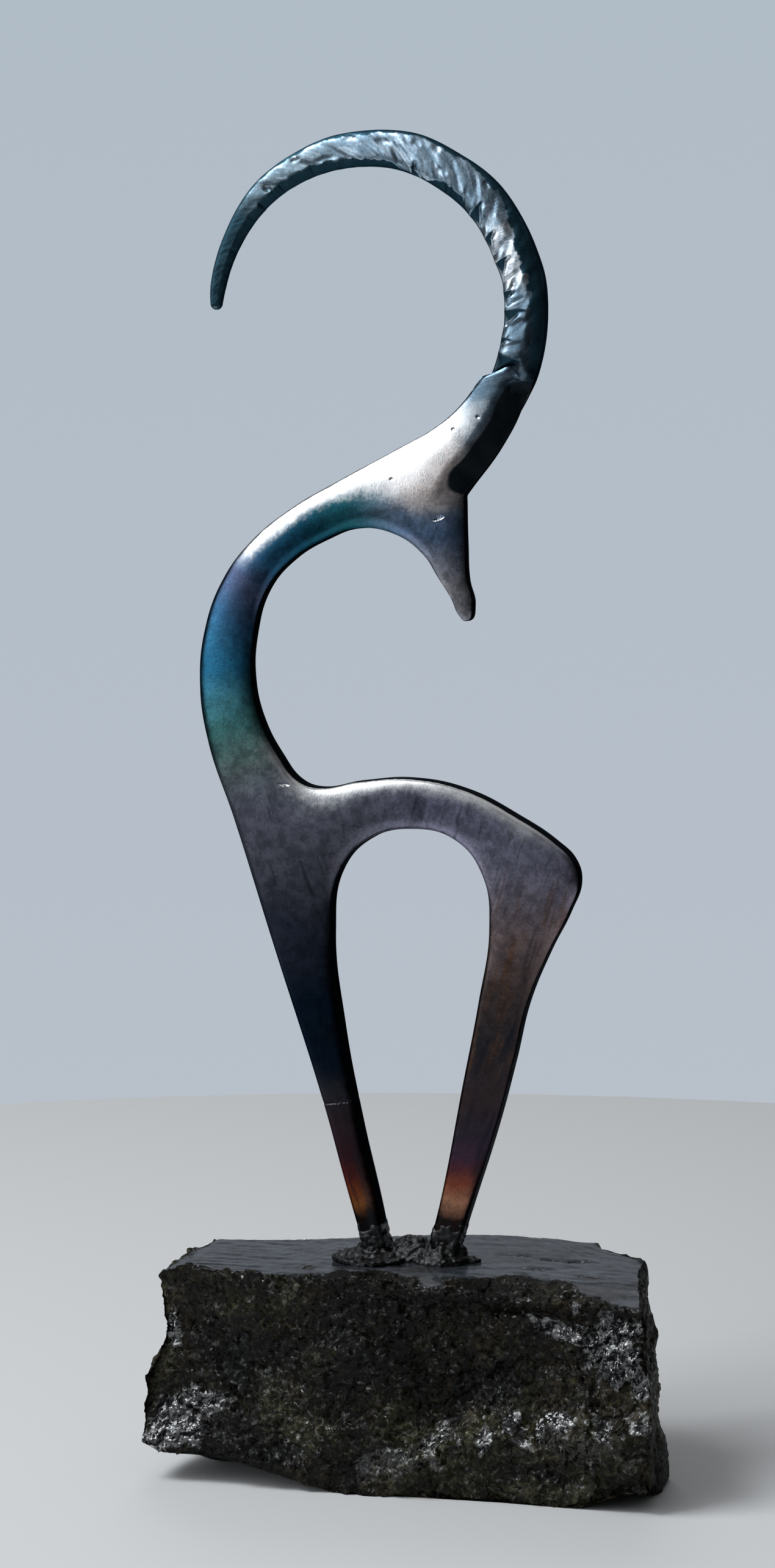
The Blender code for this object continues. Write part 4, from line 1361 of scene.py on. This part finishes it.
# The pad under the front foot: a thin plate with an edge that stands off the stone.
SETTING_PAD = (-6.6, -2.6, 8.2, 7.6, 1.1)
PAD_LIFT = 0.6
# The black coat that climbs each leg: height, then the leg's left and right side there, in millimetres.
COATS = [
    [(47.0, -6.7, -2.1), (57.3, -9.7, -4.2)],
    [(47.0, 5.9, 12.2), (56.6, 8.3, 15.1)],
]
COAT_REACH = 0.1
COAT_HALF_DEPTH = 4.05
COAT_CORNER = 0.9
SETTING_VOXEL = 0.33 * MM
SETTING_BITE = 0.4


def in_place(x, y, z, *half_sizes):
    """The transform that puts a unit shape at a place with these half sizes, all in millimetres."""
    return Matrix.LocRotScale((x * MM, y * MM, z * MM), None, [size * MM for size in half_sizes])


def coat(edit, foot, top):
    """The coat round one leg, from its foot to its top, with rounded upright edges."""
    corners = bmesh.ops.create_cube(edit, size=2.0)["verts"]
    for corner in corners:
        z, left, right = foot if corner.co.z < 0 else top
        x = left - COAT_REACH if corner.co.x < 0 else right + COAT_REACH
        corner.co = Vector((x, COAT_HALF_DEPTH * corner.co.y, z)) * MM
    upright = {edge for corner in corners for edge in corner.link_edges
               if abs(edge.verts[0].co.z - edge.verts[1].co.z) > 5 * MM}
    bmesh.ops.bevel(edit, geom=list(upright), offset=COAT_CORNER * MM, segments=3, profile=0.5,
                    affect="EDGES")


def setting():
    """The black grit that beds both feet: lumps in one skin that climbs the legs as a thin coat."""
    edit = bmesh.new()
    wide, high = LUMP_SHARES
    for x, y, half_length, half_depth, tall in SETTING_LUMPS:
        lump = in_place(x, y, STONE_HEIGHT, half_length * wide, half_depth * wide, tall * high)
        bmesh.ops.create_icosphere(edit, subdivisions=4, radius=1, matrix=lump)
    x, y, *sizes = SETTING_PAD
    pad = in_place(x, y, STONE_HEIGHT + PAD_LIFT, *sizes)
    bmesh.ops.create_cone(edit, cap_ends=True, segments=48, radius1=0.97, radius2=1.0, depth=1.0, matrix=pad)
    for foot, top in COATS:
        coat(edit, foot, top)
    obj = object_of(edit, "setting")
    applied(obj, "REMESH", mode="VOXEL", voxel_size=SETTING_VOXEL)
    normals = [vert.normal.copy() for vert in obj.data.vertices]
    for vert, normal in zip(obj.data.vertices, normals):
        place = vert.co / MM
        # Low down it is coarse and lumpy, higher up a thin coat that gives out at a ragged border.
        high = smooth_step(place.z, 51.5, 54.5)
        grain = (0.5 - noise.voronoi(place / 1.25)[0][0]) * (0.85 - 0.6 * high)
        lump = noise.noise_vector(place / 2.6) * (0.5 - 0.4 * high)
        give_out = 0.7 * smooth_step(place.z + 2.6 * noise.noise(place / 1.8), 54.6, 56.8)
        vert.co += (normal * (grain - give_out) + lump) * MM
        vert.co.z = max(vert.co.z, (STONE_HEIGHT - SETTING_BITE) * MM)
    obj.data.shade_smooth()
    return obj


def grit_material():
    """Black, coarse and glossy, with a few lighter grains."""
    material, shader = new_material("black_grit")
    where = places_of(material)
    height = where.noise(2400.0, 4.0, 0.7) * 0.00012 + chip_bump(where, 1000.0, 0.4)
    bump = worked_out("Bump", {"Height": height, "Strength": 1.0, "Distance": 1.0})
    set_inputs(shader, {
        "Base Color": ramp(where.noise(800.0, 5.0, 0.68), GRIT),
        "Roughness": where.noise(1500.0, 3.0, 0.6).spread(0.3, 0.7, 0.3, 0.6),
        "Specular IOR Level": 0.1,
        "Coat Weight": 0.5,
        "Coat IOR": 1.45,
        "Coat Roughness": 0.08,
        "Normal": bump,
        "Coat Normal": bump,
    })
    return material


FLOOR_RADIUS = 0.47
FLOOR_GREY = (0.54, 0.54, 0.54, 1.0)

# Direction that the room's glow comes from, and its colours from the far side to the near one.
GLOW_FROM = (-0.55, -0.66, 0.51)
GLOW = [
    (0.30, (0.02, 0.02, 0.02)),
    (0.60, (0.04, 0.043, 0.046)),
    (0.80, (0.09, 0.095, 0.105)),
    (0.90, (0.20, 0.22, 0.24)),
    (1.00, (0.45, 0.48, 0.52)),
]
CEILING_SHARE = 0.35
FAR_WALL = (0.20, 0.22, 0.25)
BACKDROP = [(0.0, (0.50, 0.54, 0.60)), (1.0, (0.40, 0.48, 0.55))]

# The lamps: name, place, size, power and colour. All of them are turned to one place.
LAMPS = [
    ("window", (-0.80, -0.88, 0.68), (1.1, 1.0), 7.0, (0.94, 0.97, 1.0)),
    ("key", (-0.60, -0.40, 1.10), (0.5, 0.5), 14.0, (0.93, 0.97, 1.0)),
    ("behind", (-0.2, 0.8, 1.0), (0.6, 0.6), 2.0, (0.93, 0.96, 1.0)),
]
LAMPS_AIM = Vector((0.0, 0.0, 0.15))

# The photograph was taken from a little to the right of the figure's front, looking slightly down.
CAMERA_AZIMUTH = math.radians(13.0)
CAMERA_PITCH = math.radians(4.63)
CAMERA_DISTANCE = 0.6933
CAMERA_LENS = 72.9
CAMERA_SENSOR = 36.0
LOOKED_AT = Vector((-0.003, 0.0, 0.1526))


def floor():
    """A plain pale round floor, whose far edge shows behind the stone as a tabletop's would."""
    edit = bmesh.new()
    bmesh.ops.create_circle(edit, cap_ends=True, radius=FLOOR_RADIUS, segments=160)
    obj = object_of(edit, "floor")
    material, shader = new_material("pale_floor")
    set_inputs(shader, {"Base Color": FLOOR_GREY, "Roughness": 0.6})
    obj.data.materials.append(material)


def world():
    """A dim room with a broad soft glow in front, to the left and above, and a pale blue-grey backdrop."""
    room = bpy.data.worlds.new("room")
    bpy.context.scene.world = room
    room.use_nodes = True
    tree = room.node_tree
    tree.nodes.clear()
    direction = source(tree, "TexCoord", "Generated")
    _, away, up = direction.parts()
    glow = vector_maths("DOT_PRODUCT", direction, GLOW_FROM, output="Value")
    ceiling = mix(up.spread(0.55, 0.95, 0.0, CEILING_SHARE), (0.0, 0.0, 0.0), (1.0, 1.0, 1.0))
    light = mix(1.0, ramp(glow.even(-1.0, 1.0), GLOW), ceiling, "ADD")
    light = mix(away.spread(0.5, 0.9) * (up.spread(-0.02, 0.02) * up.spread(0.5, 0.2)), light, FAR_WALL)
    seen = source(tree, "LightPath", "Is Camera Ray")
    colour = mix(seen, light, ramp(up.even(-0.35, 0.45), BACKDROP))
    back = worked_out("Background", {"Color": colour, "Strength": 1.0})
    set_inputs(tree.nodes.new("ShaderNodeOutputWorld"), {"Surface": back})


def lamp(name, place, size, power, colour):
    data = bpy.data.lights.new(name, "AREA")
    data.shape = "RECTANGLE"
    data.size, data.size_y = size
    data.energy = power
    data.color = colour
    light = new_object(name, data)
    light.location = place
    light.rotation_euler = (LAMPS_AIM - Vector(place)).to_track_quat("-Z", "Y").to_euler()


def camera():
    data = bpy.data.cameras.new("camera")
    data.sensor_width = CAMERA_SENSOR
    data.lens = CAMERA_LENS
    obj = new_object("camera", data)
    back = Vector((math.sin(CAMERA_AZIMUTH) * math.cos(CAMERA_PITCH),
                   -math.cos(CAMERA_AZIMUTH) * math.cos(CAMERA_PITCH), math.sin(CAMERA_PITCH)))
    obj.location = LOOKED_AT + back * CAMERA_DISTANCE
    obj.rotation_euler = (math.pi / 2 - CAMERA_PITCH, 0.0, CAMERA_AZIMUTH)
    bpy.context.scene.camera = obj


def dress(piece, material, node):
    """Puts a piece with its material in the place of a node of the frame."""
    piece.data.materials.clear()
    piece.data.materials.append(material)
    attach(piece, BODY)
    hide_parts(node)


noise.seed_set(NOISE_SEED)
dress(antelope(), steel_material(), "antelope_figure")
dress(stone(), stone_material(), "stone_base")
dress(setting(), grit_material(), "foot_setting")
floor()
world()
for settings in LAMPS:
    lamp(*settings)
camera()
bpy.context.scene.view_settings.view_transform = "Standard"
